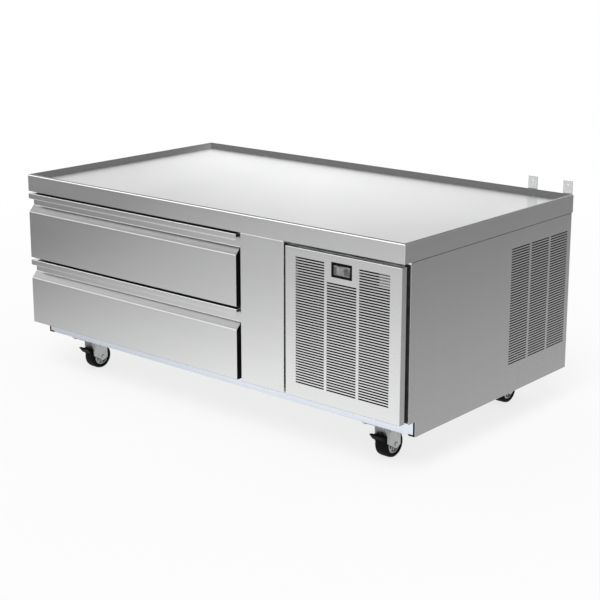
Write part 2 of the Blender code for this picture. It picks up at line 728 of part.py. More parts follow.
def build_service_panel():
    """The louvred pan in front of the machine compartment, with hooks that reach the face frame."""
    low = (SERVICE_LEFT, FRONT, FASCIA_BOTTOM)
    high = (SERVICE_RIGHT, FRONT + SERVICE_THICKNESS, SERVICE_TOP)
    panel = tray("service_panel", low, high, SHEET, "+Y", stainless())
    hooks = []
    for side in (SERVICE_LEFT, SERVICE_RIGHT - SHEET):
        for bottom in (FASCIA_BOTTOM + HOOK_INSET, SERVICE_TOP - HOOK_INSET - HOOK_LENGTH):
            hook_low = (side, FRONT + SERVICE_THICKNESS / 2, bottom)
            hooks.append((hook_low, (side + SHEET, FACE - SEAT, bottom + HOOK_LENGTH)))
    join(panel, blocks("hook_tool", hooks))
    slots = []
    for column in range(SLOT_COLUMNS):
        centre = SERVICE_CENTRE + (column - (SLOT_COLUMNS - 1) / 2) * FRONT_COLUMN_PITCH
        under_display = column == SLOT_COLUMNS // 2
        for row in range(ROWS_LOST_TO_DISPLAY if under_display else 0, FRONT_SLOT_ROWS):
            z = SERVICE_TOP - FRONT_SLOT_TOP - row * SLOT_PITCH
            slot_low = (centre - FRONT_SLOT_LENGTH / 2, FRONT - SHEET, z - SLOT_HEIGHT / 2)
            slot_high = (centre + FRONT_SLOT_LENGTH / 2, FRONT + 2 * SHEET, z + SLOT_HEIGHT / 2)
            slots.append((slot_low, slot_high))
    cut(panel, blocks("front_slot_tool", slots))
    cut(panel, display_block("display_hole_tool", BEZEL_WIDTH, BEZEL_HEIGHT, -SHEET, 2 * SHEET))
    return panel


def build_display_bezel():
    width, height = BEZEL_WIDTH - 2 * SEAT, BEZEL_HEIGHT - 2 * SEAT
    bezel = display_block("display_bezel", width, height, 0, BEZEL_DEPTH, black_plastic())
    inner_width, inner_height = width - 2 * BEZEL_BORDER, height - 2 * BEZEL_BORDER
    cut(bezel, display_block("bezel_window_tool", inner_width, inner_height, -OVERRUN, BEZEL_DEPTH + OVERRUN))
    return bezel


def build_thermostat():
    width = BEZEL_WIDTH - 4 * SEAT - 2 * BEZEL_BORDER
    height = BEZEL_HEIGHT - 4 * SEAT - 2 * BEZEL_BORDER
    return display_block("thermostat", width, height, DISPLAY_RECESS, THERMOSTAT_DEPTH, display_glass())


# Rear tabs


def build_rear_tab(name, left):
    """A strap up the back: flat on the cabinet, joggled out round the apron, with a hole near its top."""
    inner_back, outer_back = SKIN_BACK + SEAT, BACK + SEAT
    low, high = APRON_BOTTOM - TAB_DROP, RIM_TOP + TAB_RISE
    bend = APRON_BOTTOM - SEAT
    joggle = bend - TAB_JOGGLE_RISE
    front = [(inner_back, low), (inner_back, joggle), (outer_back, bend), (outer_back, high)]
    back = [(outer_back + TAB_SHEET, high), (outer_back + TAB_SHEET, bend - RIM_ROUND),
            (inner_back + TAB_SHEET, joggle - RIM_ROUND), (inner_back + TAB_SHEET, low)]
    tab = prism(name, "X", left, left + TAB_WIDTH, front + back, galvanised())
    centre = (left + TAB_WIDTH / 2, outer_back, high - TAB_HOLE_DROP)
    cut(tab, rod(name + "_hole_tool", "Y", centre, TAB_HOLE_RADIUS, -OVERRUN, OVERRUN))
    return tab


# Drawers


def drawer_front_outline():
    """Side outline of a drawer front, front face at 0 and bottom at 0: rolled lip, recess, slanted grip."""
    top = DRAWER_FRONT_HEIGHT
    thick = DRAWER_FRONT_THICKNESS
    lip_low = top - LIP_HEIGHT
    recess_low = lip_low - RECESS_HEIGHT
    grip_low = recess_low - RECESS_DEPTH
    nose = arc((LIP_ROUND, top - LIP_ROUND), LIP_ROUND, 90, 180, ROUND_STEPS)
    chin = arc((LIP_ROUND, lip_low + LIP_ROUND), LIP_ROUND, 180, 270, ROUND_STEPS)
    foot = arc((EDGE_ROUND, EDGE_ROUND), EDGE_ROUND, 180, 270, 2)
    return [(thick, 0), (thick, top), *nose, *chin, (RECESS_DEPTH, lip_low), (RECESS_DEPTH, recess_low),
            (EDGE_ROUND, grip_low + EDGE_ROUND), (0, grip_low - EDGE_ROUND), *foot]


def build_drawer_front():
    outline = [(FRONT + y, z) for y, z in drawer_front_outline()]
    return prism("drawer_front", "X", LEFT, DRAWER_RIGHT, outline, stainless())


def build_drawer_gasket():
    """The ring that seals between the drawer front and the face frame."""
    near, far = FRONT + DRAWER_FRONT_THICKNESS + SEAT, FACE - SEAT
    low = Vector((LEFT + GASKET_SIDE_INSET, near, GASKET_INSET))
    high = Vector((DRAWER_RIGHT - GASKET_SIDE_INSET, far, DRAWER_FRONT_HEIGHT - GASKET_INSET))
    ring = block("drawer_gasket", low, high, gasket_vinyl())
    across = Vector((GASKET_WIDTH, 0, GASKET_WIDTH))
    deep = Vector((0, OVERRUN, 0))
    cut(ring, block("gasket_window_tool", low + across - deep, high - across + deep, None))
    return ring


def slide_members():
    """Half heights and depths of the three nested slide members, from the outer one in."""
    step = SLIDE_WALL + SLIDE_PLAY
    return [(SLIDE_HEIGHT / 2 - level * step, SLIDE_DEPTH - level * step) for level in range(3)]


def build_drawer_frame():
    """The frame that carries two food pans, with the inner slide members on its sides."""
    top = FRAME_TOP_RISE
    low = Vector((FRAME_LEFT, FRAME_FRONT, top - FRAME_HEIGHT))
    frame = block("drawer_frame", low, (FRAME_RIGHT, FRAME_FRONT + FRAME_LENGTH, top), stainless())
    wells, hollows = [], []
    for left in (FRAME_LEFT + PAN_RAIL, FRAME_LEFT + PAN_RAIL + PAN_WIDTH + PAN_DIVIDER):
        near = FRAME_FRONT + PAN_FRONT_RAIL
        wells.append(((left, near, low.z - OVERRUN), (left + PAN_WIDTH, near + PAN_LENGTH, top + OVERRUN)))
    inset = FRAME_WALL
    middle = (FRAME_LEFT + FRAME_RIGHT) / 2
    for left, right in ((FRAME_LEFT + inset, middle - inset), (middle + inset, FRAME_RIGHT - inset)):
        hollow_low = (left, FRAME_FRONT + inset, low.z - OVERRUN)
        hollows.append((hollow_low, (right, FRAME_FRONT + FRAME_LENGTH - inset, top - FRAME_WALL)))
    cut(frame, blocks("pan_well_tool", wells))
    cut(frame, blocks("frame_hollow_tool", hollows))
    half, depth = slide_members()[2]
    near = FRONT + SLIDE_FRONT
    far = near + SLIDE_LENGTH
    reach = depth + FRAME_SIDE_PLAY
    runners = []
    sides = ((FRAME_LEFT - reach, FRAME_LEFT + inset / 2), (FRAME_RIGHT - inset / 2, FRAME_RIGHT + reach))
    for left, right in sides:
        runners.append(((left, near, SLIDE_MID_RISE - half), (right, far, SLIDE_MID_RISE + half)))
    join(frame, blocks("runner_tool", runners))
    return frame


def build_slide_member(name, level, side):
    """A channel of a telescopic slide, open towards the drawer. side is 1 on the left and -1 on the right."""
    half, depth = slide_members()[level]
    mouth = (FRAME_LEFT - FRAME_SIDE_PLAY) if side > 0 else (FRAME_RIGHT + FRAME_SIDE_PLAY)
    web = mouth - side * depth
    inner = web + side * SLIDE_WALL
    middle = SLIDE_MID_RISE
    low, high = middle - half, middle + half
    outline = [(web, low), (mouth, low), (mouth, low + SLIDE_WALL), (inner, low + SLIDE_WALL),
               (inner, high - SLIDE_WALL), (mouth, high - SLIDE_WALL), (mouth, high), (web, high)]
    start = FRONT + SLIDE_FRONT
    return prism(name, "Y", start, start + SLIDE_LENGTH, outline, zinc_steel())


def build_drawers():
    """Both drawers: the same pieces at two heights, each under an empty on its drawer's slide."""
    shared = {
        "drawer_front": settled(build_drawer_front()),
        "drawer_gasket": settled(build_drawer_gasket()),
        "drawer_frame": settled(build_drawer_frame()),
    }
    slides = {}
    for side_name, side in (("left", 1), ("right", -1)):
        slides["slide_outer", side_name] = settled(build_slide_member("outer", 0, side))
        slides["slide_middle", side_name] = settled(build_slide_member("middle", 1, side))
    for level, bottom in (("upper", UPPER_FRONT_BOTTOM), ("lower", LOWER_FRONT_BOTTOM)):
        place = (0, 0, bottom)
        drawer = add_empty("drawer_" + level, place)
        members = add_empty("middle_members_" + level, place)
        for name, mesh in shared.items():
            place_copy(f"{name}_{level}", mesh, place, drawer)
        for (name, side_name), mesh in slides.items():
            parent = members if name == "slide_middle" else None
            place_copy(f"{name}_{level}_{side_name}", mesh, place, parent)


def build_rack(name, wall_side, low_x, high_x, open_side):
    """A standing channel that the slides hang on, with windows for the cold air between the two slides."""
    low = (low_x, FRONT + RACK_FRONT, CAVITY_FLOOR + SEAT)
    high = (high_x, FRONT + RACK_FRONT + RACK_LENGTH, CAVITY_TOP - SEAT)
    rack = tray(name, low, high, FRAME_SHEET, open_side, stainless())
    gap_low = LOWER_FRONT_BOTTOM + SLIDE_MID_RISE + SLIDE_HEIGHT / 2
    gap_high = UPPER_FRONT_BOTTOM + SLIDE_MID_RISE - SLIDE_HEIGHT / 2
    middle = (gap_low + gap_high) / 2
    pitch = RACK_LENGTH / RACK_WINDOWS
    windows = []
    for i in range(RACK_WINDOWS):
        y = FRONT + RACK_FRONT + pitch / 2 + i * pitch
        half = Vector((0, RACK_WINDOW_WIDTH / 2, RACK_WINDOW_HEIGHT / 2))
        window_low = Vector((wall_side - FRAME_SHEET - SEAT, y, middle)) - half
        windows.append((window_low, Vector((wall_side + FRAME_SHEET + SEAT, y, middle)) + half))
    cut(rack, blocks(name + "_window_tool", windows))
    return rack


# Casters


def build_caster_plate():
    """The top plate with its bearing race underneath and the hole of the kingpin, centred on the kingpin."""
    half_x, half_y = PLATE_WIDTH / 2, PLATE_LENGTH / 2
    corner = PLATE_CORNER
    outline = [(-half_x + corner, -half_y), (half_x - corner, -half_y), (half_x, -half_y + corner),
               (half_x, half_y - corner), (half_x - corner, half_y), (-half_x + corner, half_y),
               (-half_x, half_y - corner), (-half_x, -half_y + corner)]
    plate = prism("caster_plate", "Z", PLATE_BOTTOM, CASTER_HEIGHT, outline, zinc_steel())
    low, top = PLATE_BOTTOM - RACE_HEIGHT, PLATE_BOTTOM + PLATE_THICKNESS / 2
    race = [(0, low), (RACE_RADIUS - RACE_HEIGHT / 2, low), (RACE_RADIUS, low + RACE_HEIGHT / 2),
            (RACE_RADIUS, top), (0, top)]
    join(plate, turned("race_tool", "Z", (0, 0, 0), race, FINE_SIDES))
    hole_radius = KINGPIN_RADIUS + BORE_PLAY
    cut(plate, rod("kingpin_hole_tool", "Z", (0, 0, 0), hole_radius, low - OVERRUN, CASTER_HEIGHT + OVERRUN))
    return plate


def axle_place():
    return Vector((0, CASTER_TRAIL, AXLE_RISE))


def build_caster_fork():
    """The fork: two tapered legs under a bridge, with the kingpin and the axle riveted in."""
    axle = axle_place()
    shoulder = FORK_TOP - FORK_SHOULDER
    front, rear = axle.y - FORK_TOP_FRONT, axle.y + FORK_TOP_REAR
    tip, above_tip = axle.z - FORK_TIP_DROP, axle.z - FORK_TIP_DROP / 2
    outline = [(front, shoulder), (front + FORK_SHOULDER, FORK_TOP), (rear, FORK_TOP),
               (rear, axle.z + FORK_TIP_DROP), (axle.y + FORK_TIP_HALF, above_tip), (axle.y, tip),
               (axle.y - FORK_TIP_HALF, above_tip), (front, shoulder - FORK_TIP_DROP)]
    fork = prism("caster_fork", "X", -FORK_OUTER_HALF, FORK_OUTER_HALF, outline, zinc_steel())
    low = (-FORK_INNER_HALF, -PEDAL_REACH, -OVERRUN)
    cut(fork, block("fork_gap_tool", low, (FORK_INNER_HALF, PEDAL_REACH, FORK_TOP - FORK_SHEET), None))
    root = FORK_TOP - FORK_SHEET / 2
    join(fork, rod("kingpin_tool", "Z", (0, 0, 0), KINGPIN_RADIUS, root, CASTER_HEIGHT - SEAT))
    end = FORK_OUTER_HALF + AXLE_HEAD
    axle_profile = [(0, -end), (AXLE_HEAD_RADIUS, -end), (AXLE_HEAD_RADIUS, -FORK_OUTER_HALF + SEAT),
                    (AXLE_RADIUS, -FORK_OUTER_HALF + SEAT), (AXLE_RADIUS, FORK_OUTER_HALF - SEAT),
                    (AXLE_HEAD_RADIUS, FORK_OUTER_HALF - SEAT), (AXLE_HEAD_RADIUS, end), (0, end)]
    join(fork, turned("axle_tool", "X", axle, axle_profile, COARSE_SIDES))
    return fork


def pedal_pin_place():
    return axle_place() + Vector((0, -PEDAL_PIN_FORWARD, PEDAL_PIN_RISE))


def build_braked_fork():
    fork = build_caster_fork()
    half = FORK_OUTER_HALF + AXLE_HEAD / 2
    join(fork, rod("pedal_pin_tool", "X", pedal_pin_place(), PEDAL_PIN_RADIUS, -half, half))
    return fork


def build_caster_wheel():
    """The wheel about its own axle: rounded tread, recessed hub and a bore. A flat of the tread is down."""
    to_corner = 1 / math.cos(math.pi / WHEEL_SIDES)
    half = WHEEL_HALF
    bore = AXLE_RADIUS + BORE_PLAY
    tread = [(WHEEL_RADIUS - TREAD_ROUND, half), (WHEEL_RADIUS, half - TREAD_ROUND)]
    face = half - HUB_RECESS
    boss = [(bore, half), (HUB_BOSS_RADIUS, half), (HUB_BOSS_RADIUS, face)]
    right = [*boss, (HUB_RADIUS, face), (HUB_RADIUS, half), *tread]
    profile = right + [(radius, -along) for radius, along in reversed(right)]
    profile = [(radius * to_corner, along) for radius, along in profile]
    return turned("caster_wheel", "X", (0, 0, 0), profile, WHEEL_SIDES, tyre_rubber(), flat_down=True)


def build_brake_pedal():
    """The brake pedal about its pin: an arch over the wheel with a lever out to the front."""
    pin = pedal_pin_place()
    axle = axle_place() - pin
    half = FORK_INNER_HALF - PEDAL_SIDE_PLAY
    inner = WHEEL_RADIUS + PEDAL_WHEEL_GAP
    outer = inner + PEDAL_SHEET
    middle = (axle.y, axle.z)
    lever_deg = (PEDAL_ARCH_BACK_DEG + PEDAL_ARCH_FRONT_DEG) / 2
    top = arc(middle, outer, PEDAL_ARCH_BACK_DEG, lever_deg, ROUND_STEPS)
    front = arc(middle, outer, lever_deg + PEDAL_LEVER_ROOT_DEG, PEDAL_ARCH_FRONT_DEG, ROUND_STEPS)
    under = arc(middle, inner, PEDAL_ARCH_FRONT_DEG, PEDAL_ARCH_BACK_DEG, 2 * ROUND_STEPS)
    tip = (axle.y - PEDAL_REACH, axle.z + PEDAL_TIP_RISE)
    lever = [(tip[0], tip[1]), (tip[0], tip[1] - PEDAL_SHEET)]
    pedal = prism("brake_pedal", "X", -half, half, [*top, *lever, *front, *under], black_enamel())
    join(pedal, rod("pedal_boss_tool", "X", (0, 0, 0), PEDAL_BOSS_RADIUS, -half, half))
    bore = PEDAL_PIN_RADIUS + BORE_PLAY
    cut(pedal, rod("pedal_bore_tool", "X", (0, 0, 0), bore, -half - OVERRUN, half + OVERRUN))
    return pedal


def build_casters():
    """Four casters: each fork's empty is on its kingpin, and the wheel and the pedal hang under it."""
    plate = settled(build_caster_plate())
    plain_fork = settled(build_caster_fork())
    braked_fork = settled(build_braked_fork())
    wheel = settled(build_caster_wheel())
    pedal = settled(build_brake_pedal())
    for row, y in (("front", FRONT + FRONT_KINGPIN), ("rear", BACK - REAR_KINGPIN)):
        for side, x in (("left", LEFT + CASTER_SIDE_INSET), ("right", RIGHT - CASTER_SIDE_INSET)):
            corner = f"{row}_{side}"
            kingpin = Vector((x, y, 0))
            place_copy("caster_plate_" + corner, plate, kingpin)
            swivel = add_empty("caster_swivel_" + corner, kingpin)
            fork = braked_fork if row == "front" else plain_fork
            place_copy("caster_fork_" + corner, fork, kingpin, swivel)
            place_copy("caster_wheel_" + corner, wheel, kingpin + axle_place(), swivel)
            if row == "front":
                place_copy("brake_pedal_" + corner, pedal, kingpin + pedal_pin_place(), swivel)


# Fans, shared by the condensing unit and the evaporator


def build_fan(name, axis, centre, tip_radius, hub_radius, depth):
    """A hub on its shaft's bore with tilted blades, about its own centre."""
    half = depth / 2
    bore = FAN_SHAFT_RADIUS + BORE_PLAY
    hub = [(bore, -half), (hub_radius, -half), (hub_radius, half), (bore, half)]
    fan = turned(name, "Z", (0, 0, 0), hub, FINE_SIDES, black_plastic())
    bm = bmesh.new()
    root = (bore + hub_radius) / 2
    for i in range(FAN_BLADES):
        blade = add_block(bm, (root, -half, -BLADE_SHEET / 2), (tip_radius, half, BLADE_SHEET / 2))
        tilt = Matrix.Rotation(math.radians(BLADE_PITCH_DEG), 3, "X")
        bmesh.ops.rotate(bm, verts=blade, matrix=Matrix.Rotation(math.tau * i / FAN_BLADES, 3, "Z") @ tilt)
    join(fan, add_object(name + "_blade_tool", bm))
    mesh = settled(fan)
    mesh.transform(turned_from_z(axis))
    return place_copy(name, mesh, centre)


# Condensing unit


def build_condensing_unit_tray():
    low = (PARTITION_RIGHT + COMPARTMENT_CLEARANCE, FRONT + TRAY_FRONT, BASE_PAN_TOP + SEAT)
    high = (INNER_RIGHT - COMPARTMENT_CLEARANCE, TRAY_BACK, low[2] + TRAY_LIP)
    return tray("condensing_unit_tray", low, high, FRAME_SHEET, "+Z", galvanised())


def build_condenser_coil():
    low = (COIL_LEFT, FRONT + COIL_FRONT, COIL_BOTTOM)
    return block("condenser_coil", low, (COIL_RIGHT, COIL_BACK, COIL_TOP), fin_aluminium())


def fan_centre():
    return Vector((SERVICE_CENTRE, SHROUD_BACK, FAN_CENTRE_Z))


def build_fan_shroud():
    low = (COIL_LEFT, SHROUD_FRONT, COIL_BOTTOM)
    shroud = tray("fan_shroud", low, (COIL_RIGHT, SHROUD_BACK, COIL_TOP), SHEET, "-Y", galvanised())
    cut(shroud, rod("orifice_tool", "Y", fan_centre(), ORIFICE_RADIUS, -OVERRUN, OVERRUN, FINE_SIDES))
    return shroud


def build_condenser_fan():
    tip = ORIFICE_RADIUS - FAN_TIP_GAP
    return build_fan("condenser_fan", "Y", fan_centre(), tip, FAN_HUB_RADIUS, FAN_DEPTH)


def build_condenser_fan_motor():
    """The motor behind its fan, its shaft in the hub, on a strap whose feet reach the shroud."""
    centre = fan_centre()
    radius, length = FAN_MOTOR_RADIUS, FAN_MOTOR_LENGTH
    half = FAN_DEPTH / 2
    front = half + FAN_STRAP_SHEET
    shaft = [(0, -half), (FAN_SHAFT_RADIUS, -half), (FAN_SHAFT_RADIUS, front)]
    body = [*shaft, (radius - FAN_MOTOR_CHAMFER, front), (radius, front + FAN_MOTOR_CHAMFER),
            (radius, front + length), (0, front + length)]
    motor = turned("condenser_fan_motor", "Y", centre, body, FINE_SIDES, black_enamel())
    near = half + FAN_STRAP_SETBACK
    width = FAN_STRAP_WIDTH / 2
    reach = ORIFICE_RADIUS + FAN_STRAP_WIDTH
    bar_low, bar_high = Vector((-reach, near, -width)), Vector((reach, near + FAN_STRAP_SHEET, width))
    join(motor, block("strap_bar_tool", centre + bar_low, centre + bar_high, None))
    legs = []
    for left in (-reach, reach - FAN_STRAP_SHEET):
        low, high = Vector((left, SEAT, -width)), Vector((left + FAN_STRAP_SHEET, near + SEAT, width))
        legs.append((centre + low, centre + high))
    join(motor, blocks("strap_leg_tool", legs))
    return motor


def build_compressor():
    """A hermetic shell: a drum with domed ends on a square foot."""
    radius = COMPRESSOR_RADIUS
    low, high = COMPRESSOR_FOOT_HEIGHT / 2, COMPRESSOR_HEIGHT
    quarter = arc((0, 0), 1, 0, 90, ROUND_STEPS + 1)[:-1]
    rounds = [(radius * across, high - COMPRESSOR_DOME + COMPRESSOR_DOME * up) for across, up in quarter]
    profile = [(0, low), (COMPRESSOR_HEEL_RADIUS, low), (radius, low + COMPRESSOR_HEEL), *rounds, (0, high)]
    shell = turned("compressor", "Z", COMPRESSOR_CENTRE, profile, FINE_SIDES, black_enamel())
    foot_low = COMPRESSOR_CENTRE - Vector((COMPRESSOR_FOOT, COMPRESSOR_FOOT, 0))
    foot_high = COMPRESSOR_CENTRE + Vector((COMPRESSOR_FOOT, COMPRESSOR_FOOT, COMPRESSOR_FOOT_HEIGHT))
    join(shell, block("compressor_foot_tool", foot_low, foot_high, None))
    return shell


# Evaporator


def build_evaporator_housing():
    """The cover over the evaporator: open to the wall and at its front end, with the fan's orifice."""
    half = HOUSING_HEIGHT / 2
    low = (HOUSING_LEFT, HOUSING_Y, HOUSING_MID_Z - half)
    high = (HOUSING_RIGHT, HOUSING_BACK, HOUSING_MID_Z + half)
    housing = tray("evaporator_housing", low, high, SHEET, "+X", stainless())
    mouth_low = (HOUSING_LEFT + SHEET, HOUSING_Y - OVERRUN, HOUSING_MID_Z - half + SHEET)
    mouth_high = (HOUSING_RIGHT + OVERRUN, HOUSING_Y + OVERRUN, HOUSING_MID_Z + half - SHEET)
    cut(housing, block("housing_mouth_tool", mouth_low, mouth_high, None))
    centre = (HOUSING_LEFT, EVAPORATOR_FAN_Y, HOUSING_MID_Z)
    radius = EVAPORATOR_ORIFICE_RADIUS
    cut(housing, rod("evaporator_orifice_tool", "X", centre, radius, -OVERRUN, OVERRUN, FINE_SIDES))
    return housing


def build_evaporator_coil():
    half = HOUSING_HEIGHT / 2 - SHEET - SEAT
    low = (HOUSING_LEFT + SHEET + SEAT, HOUSING_Y + EVAPORATOR_FRONT, HOUSING_MID_Z - half)
    high = (HOUSING_RIGHT - SEAT, low[1] + EVAPORATOR_LENGTH, HOUSING_MID_Z + half)
    return block("evaporator_coil", low, high, fin_aluminium())


def evaporator_fan_centre():
    """The fan runs just inside its orifice."""
    x = HOUSING_LEFT + SHEET + EVAPORATOR_FAN_DEPTH
    return Vector((x, EVAPORATOR_FAN_Y, HOUSING_MID_Z))


def build_evaporator_fan():
    tip = EVAPORATOR_ORIFICE_RADIUS - FAN_TIP_GAP
    centre = evaporator_fan_centre()
    return build_fan("evaporator_fan", "X", centre, tip, EVAPORATOR_HUB_RADIUS, EVAPORATOR_FAN_DEPTH)


def build_evaporator_fan_motor():
    """The motor on the wall side of its fan, on a foot that stands on the liner's wall."""
    centre = evaporator_fan_centre()
    half = EVAPORATOR_FAN_DEPTH / 2
    front = half + FAN_STRAP_SHEET
    radius = EVAPORATOR_MOTOR_RADIUS
    end = front + EVAPORATOR_MOTOR_LENGTH
    wall = HOUSING_RIGHT - centre.x
    shaft = [(0, -half), (FAN_SHAFT_RADIUS, -half), (FAN_SHAFT_RADIUS, front)]
    profile = [*shaft, (radius, front), (radius, end), (radius / 2, end), (radius / 2, wall), (0, wall)]
    return turned("evaporator_fan_motor", "X", centre, profile, FINE_SIDES, black_enamel())


# Lines and services


def filleted(corners, radius, steps):
    """A route through its corners with each one rounded."""
    points = [Vector(corners[0])]
    for before, corner, after in zip(corners, corners[1:], corners[2:]):
        corner = Vector(corner)
        to_before = (Vector(before) - corner).normalized()
        to_after = (Vector(after) - corner).normalized()
        start, end = corner + to_before * radius, corner + to_after * radius
        centre = start + end - corner
        for i in range(steps + 1):
            angle = math.pi / 2 * i / steps
            points.append(centre + (start - centre) * math.cos(angle) + (end - centre) * math.sin(angle))
    points.append(Vector(corners[-1]))
    return points


def build_line(name, corners, radius):
    """A copper line along square corners, each rounded."""
    curve = bpy.data.curves.new(name, "CURVE")
    curve.dimensions = "3D"
    curve.bevel_depth = radius
    curve.bevel_resolution = 2
    curve.use_fill_caps = True
    points = filleted(corners, LINE_BEND, ROUND_STEPS)
    spline = curve.splines.new("POLY")
    spline.points.add(len(points) - 1)
    for point, place in zip(spline.points, points):
        point.co = (*place, 1.0)
    curve.materials.append(copper())
    made = bpy.data.objects.new(name, curve)
    bpy.context.scene.collection.objects.link(made)
    return made


def build_suction_line():
    """From the evaporator coil through the insulated wall to the compressor's side."""
    coil_side = HOUSING_RIGHT
    wall_y = FRONT + LINE_WALL_PLACE
    turn_x = (PARTITION_RIGHT + COMPRESSOR_CENTRE.x - COMPRESSOR_RADIUS) / 2
    port_z = COMPRESSOR_CENTRE.z + COMPRESSOR_HEIGHT / 2
    port_x = COMPRESSOR_CENTRE.x - COMPRESSOR_RADIUS - SEAT
    corners = [(coil_side, wall_y, SUCTION_HEIGHT), (turn_x, wall_y, SUCTION_HEIGHT),
               (turn_x, COMPRESSOR_CENTRE.y, SUCTION_HEIGHT), (turn_x, COMPRESSOR_CENTRE.y, port_z),
               (port_x, COMPRESSOR_CENTRE.y, port_z)]
    return build_line("suction_line", corners, SUCTION_RADIUS)


def build_liquid_line():
    """From the condenser's side through the insulated wall to the evaporator coil."""
    coil_side = HOUSING_RIGHT
    wall_y = FRONT + LINE_WALL_PLACE
    turn_x = (PARTITION_RIGHT + COIL_LEFT) / 2
    outlet_y = FRONT + COIL_FRONT + COIL_THICKNESS / 2
    corners = [(coil_side, wall_y, LIQUID_HEIGHT), (turn_x, wall_y, LIQUID_HEIGHT),
               (turn_x, outlet_y, LIQUID_HEIGHT), (COIL_LEFT - SEAT, outlet_y, LIQUID_HEIGHT)]
    return build_line("liquid_line", corners, LIQUID_RADIUS)


def build_junction_box():
    near = FACE_REAR + SEAT
    high = (SKIN_RIGHT - FLANGE - SEAT - SHEET, near + JUNCTION_BOX_DEPTH, APRON_BOTTOM - JUNCTION_BOX_TOP)
    low = (high[0] - JUNCTION_BOX_WIDTH, near, high[2] - JUNCTION_BOX_HEIGHT)
    return block("junction_box", low, high, white_plastic())


def build_cord_gland():
    """A flanged bush through the back panel, with the bore that the power cord would use."""
    outer = BACK_PANEL_OUTER + SEAT
    centre = (RIGHT - GLAND_FROM_RIGHT, outer, GLAND_HEIGHT)
    mouth = [(GLAND_BORE_RADIUS, -GLAND_LENGTH), (GLAND_BORE_RADIUS, GLAND_FLANGE)]
    profile = [*mouth, (GLAND_FLANGE_RADIUS, GLAND_FLANGE), (GLAND_FLANGE_RADIUS, 0), (GLAND_RADIUS, 0),
               (GLAND_RADIUS, -GLAND_LENGTH)]
    return turned("cord_gland", "Y", centre, profile, COARSE_SIDES, black_plastic())


def clear_scene():
    for each in list(bpy.data.objects):
        bpy.data.objects.remove(each)


def main():
    clear_scene()
    build_worktop()
    build_worktop_core()
    build_foam_body()
    build_liner()
    build_face_frame()
    build_left_side_panel()
    build_right_side_panel()
    build_back_panel()
    build_base_pan()
    build_front_rail()
    build_mullion_panel()
    build_service_panel()
    build_display_bezel()
    build_thermostat()
    outer_tab = RIGHT - OUTER_TAB_FROM_RIGHT - TAB_WIDTH
    build_rear_tab("rear_tab_outer", outer_tab)
    build_rear_tab("rear_tab_inner", outer_tab - TAB_PITCH)
    build_drawers()
    left_wall = CAVITY_LEFT + SEAT
    build_rack("slide_rack_left", RACK_LEFT_FACE, left_wall, RACK_LEFT_FACE, "-X")
    build_rack("slide_rack_right", RACK_RIGHT_FACE, RACK_RIGHT_FACE, RACK_RIGHT_FACE + RACK_RIGHT_DEPTH, "+X")
    build_casters()
    build_condensing_unit_tray()
    build_condenser_coil()
    build_fan_shroud()
    build_condenser_fan()
    build_condenser_fan_motor()
    build_compressor()
    build_evaporator_housing()
    build_evaporator_coil()
    build_evaporator_fan()
    build_evaporator_fan_motor()
    build_suction_line()
    build_liquid_line()
    build_junction_box()
    build_cord_gland()


main()
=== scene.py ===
"""Looks of a refrigerated chef base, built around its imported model: folded stainless panels with pressed
louvres, drawer fronts with rolled lips, braked casters, and the refrigeration that shows behind them.

Metres, +Z up, the drawers face -Y. Every piece is built in place, so its object stays at the origin.
"""

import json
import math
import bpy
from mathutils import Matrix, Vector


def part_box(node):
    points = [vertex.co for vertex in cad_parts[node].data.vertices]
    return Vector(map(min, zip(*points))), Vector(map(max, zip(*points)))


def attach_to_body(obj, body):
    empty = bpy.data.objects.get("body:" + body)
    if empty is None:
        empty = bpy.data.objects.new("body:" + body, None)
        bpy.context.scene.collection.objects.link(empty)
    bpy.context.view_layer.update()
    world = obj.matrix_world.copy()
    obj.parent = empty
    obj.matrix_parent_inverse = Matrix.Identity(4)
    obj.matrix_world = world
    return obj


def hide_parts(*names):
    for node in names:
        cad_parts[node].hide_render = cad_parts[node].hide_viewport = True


bl_info = {
    "name": "Refrigerated Chef Base",
    "version": (1, 0, 0),
    "blender": (4, 5, 0),
    "location": "3D View > Sidebar > Chef Base",
    "description": "Builds the finished metalwork, casters and machinery of a refrigerated chef base",
    "category": "Object",
}

from contextlib import contextmanager
from typing import NamedTuple

import bmesh
import bpy
from bpy.props import FloatProperty, FloatVectorProperty, IntProperty, PointerProperty
from mathutils import Matrix, Vector

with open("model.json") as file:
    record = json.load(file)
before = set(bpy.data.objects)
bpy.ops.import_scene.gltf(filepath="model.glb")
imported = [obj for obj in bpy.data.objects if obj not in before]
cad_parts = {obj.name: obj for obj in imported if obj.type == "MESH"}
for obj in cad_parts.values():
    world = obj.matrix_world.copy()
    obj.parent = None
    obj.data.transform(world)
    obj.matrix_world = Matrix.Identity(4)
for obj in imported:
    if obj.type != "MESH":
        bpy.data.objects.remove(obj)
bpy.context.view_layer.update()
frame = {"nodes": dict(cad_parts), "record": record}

NODES = frame["nodes"]
RECORD = frame["record"]
BODY_OF = {node: body for body, nodes in RECORD["behaviour"]["bodies"].items() for node in nodes}

WELD = 0.00001
FLAT_DEG = 0.4
SHARP_DEG = 32.0
FINE_SIDES = 48
SMALL_SIDES = 16
ROUND_FROM_DEG = 40.0
WHEEL_SIDES = 64
AXES = "XYZ"
ORIGIN = (0, 0, 0)
WHITE = (1, 1, 1, 1)
LEVELS = ("upper", "lower")
SIDES = ("left", "right")

# The service panel's louvres: pitch as a share of its height, column as a share of its width, slot of its column
PITCH_SHARE = 0.017669
COLUMN_SHARE = 0.27762
SLOT_WIDTH_SHARE = 0.91563

# The drawer fronts' skin behind the recess, half the forks' width outside and inside, and the pedals' pivot
# seen from the axle
RECESS_SKIN = 0.0012
FORK_OUTER, FORK_INNER = 0.0248, 0.0218
PEDAL_PIVOT = Vector((0, -0.026, 0.040))


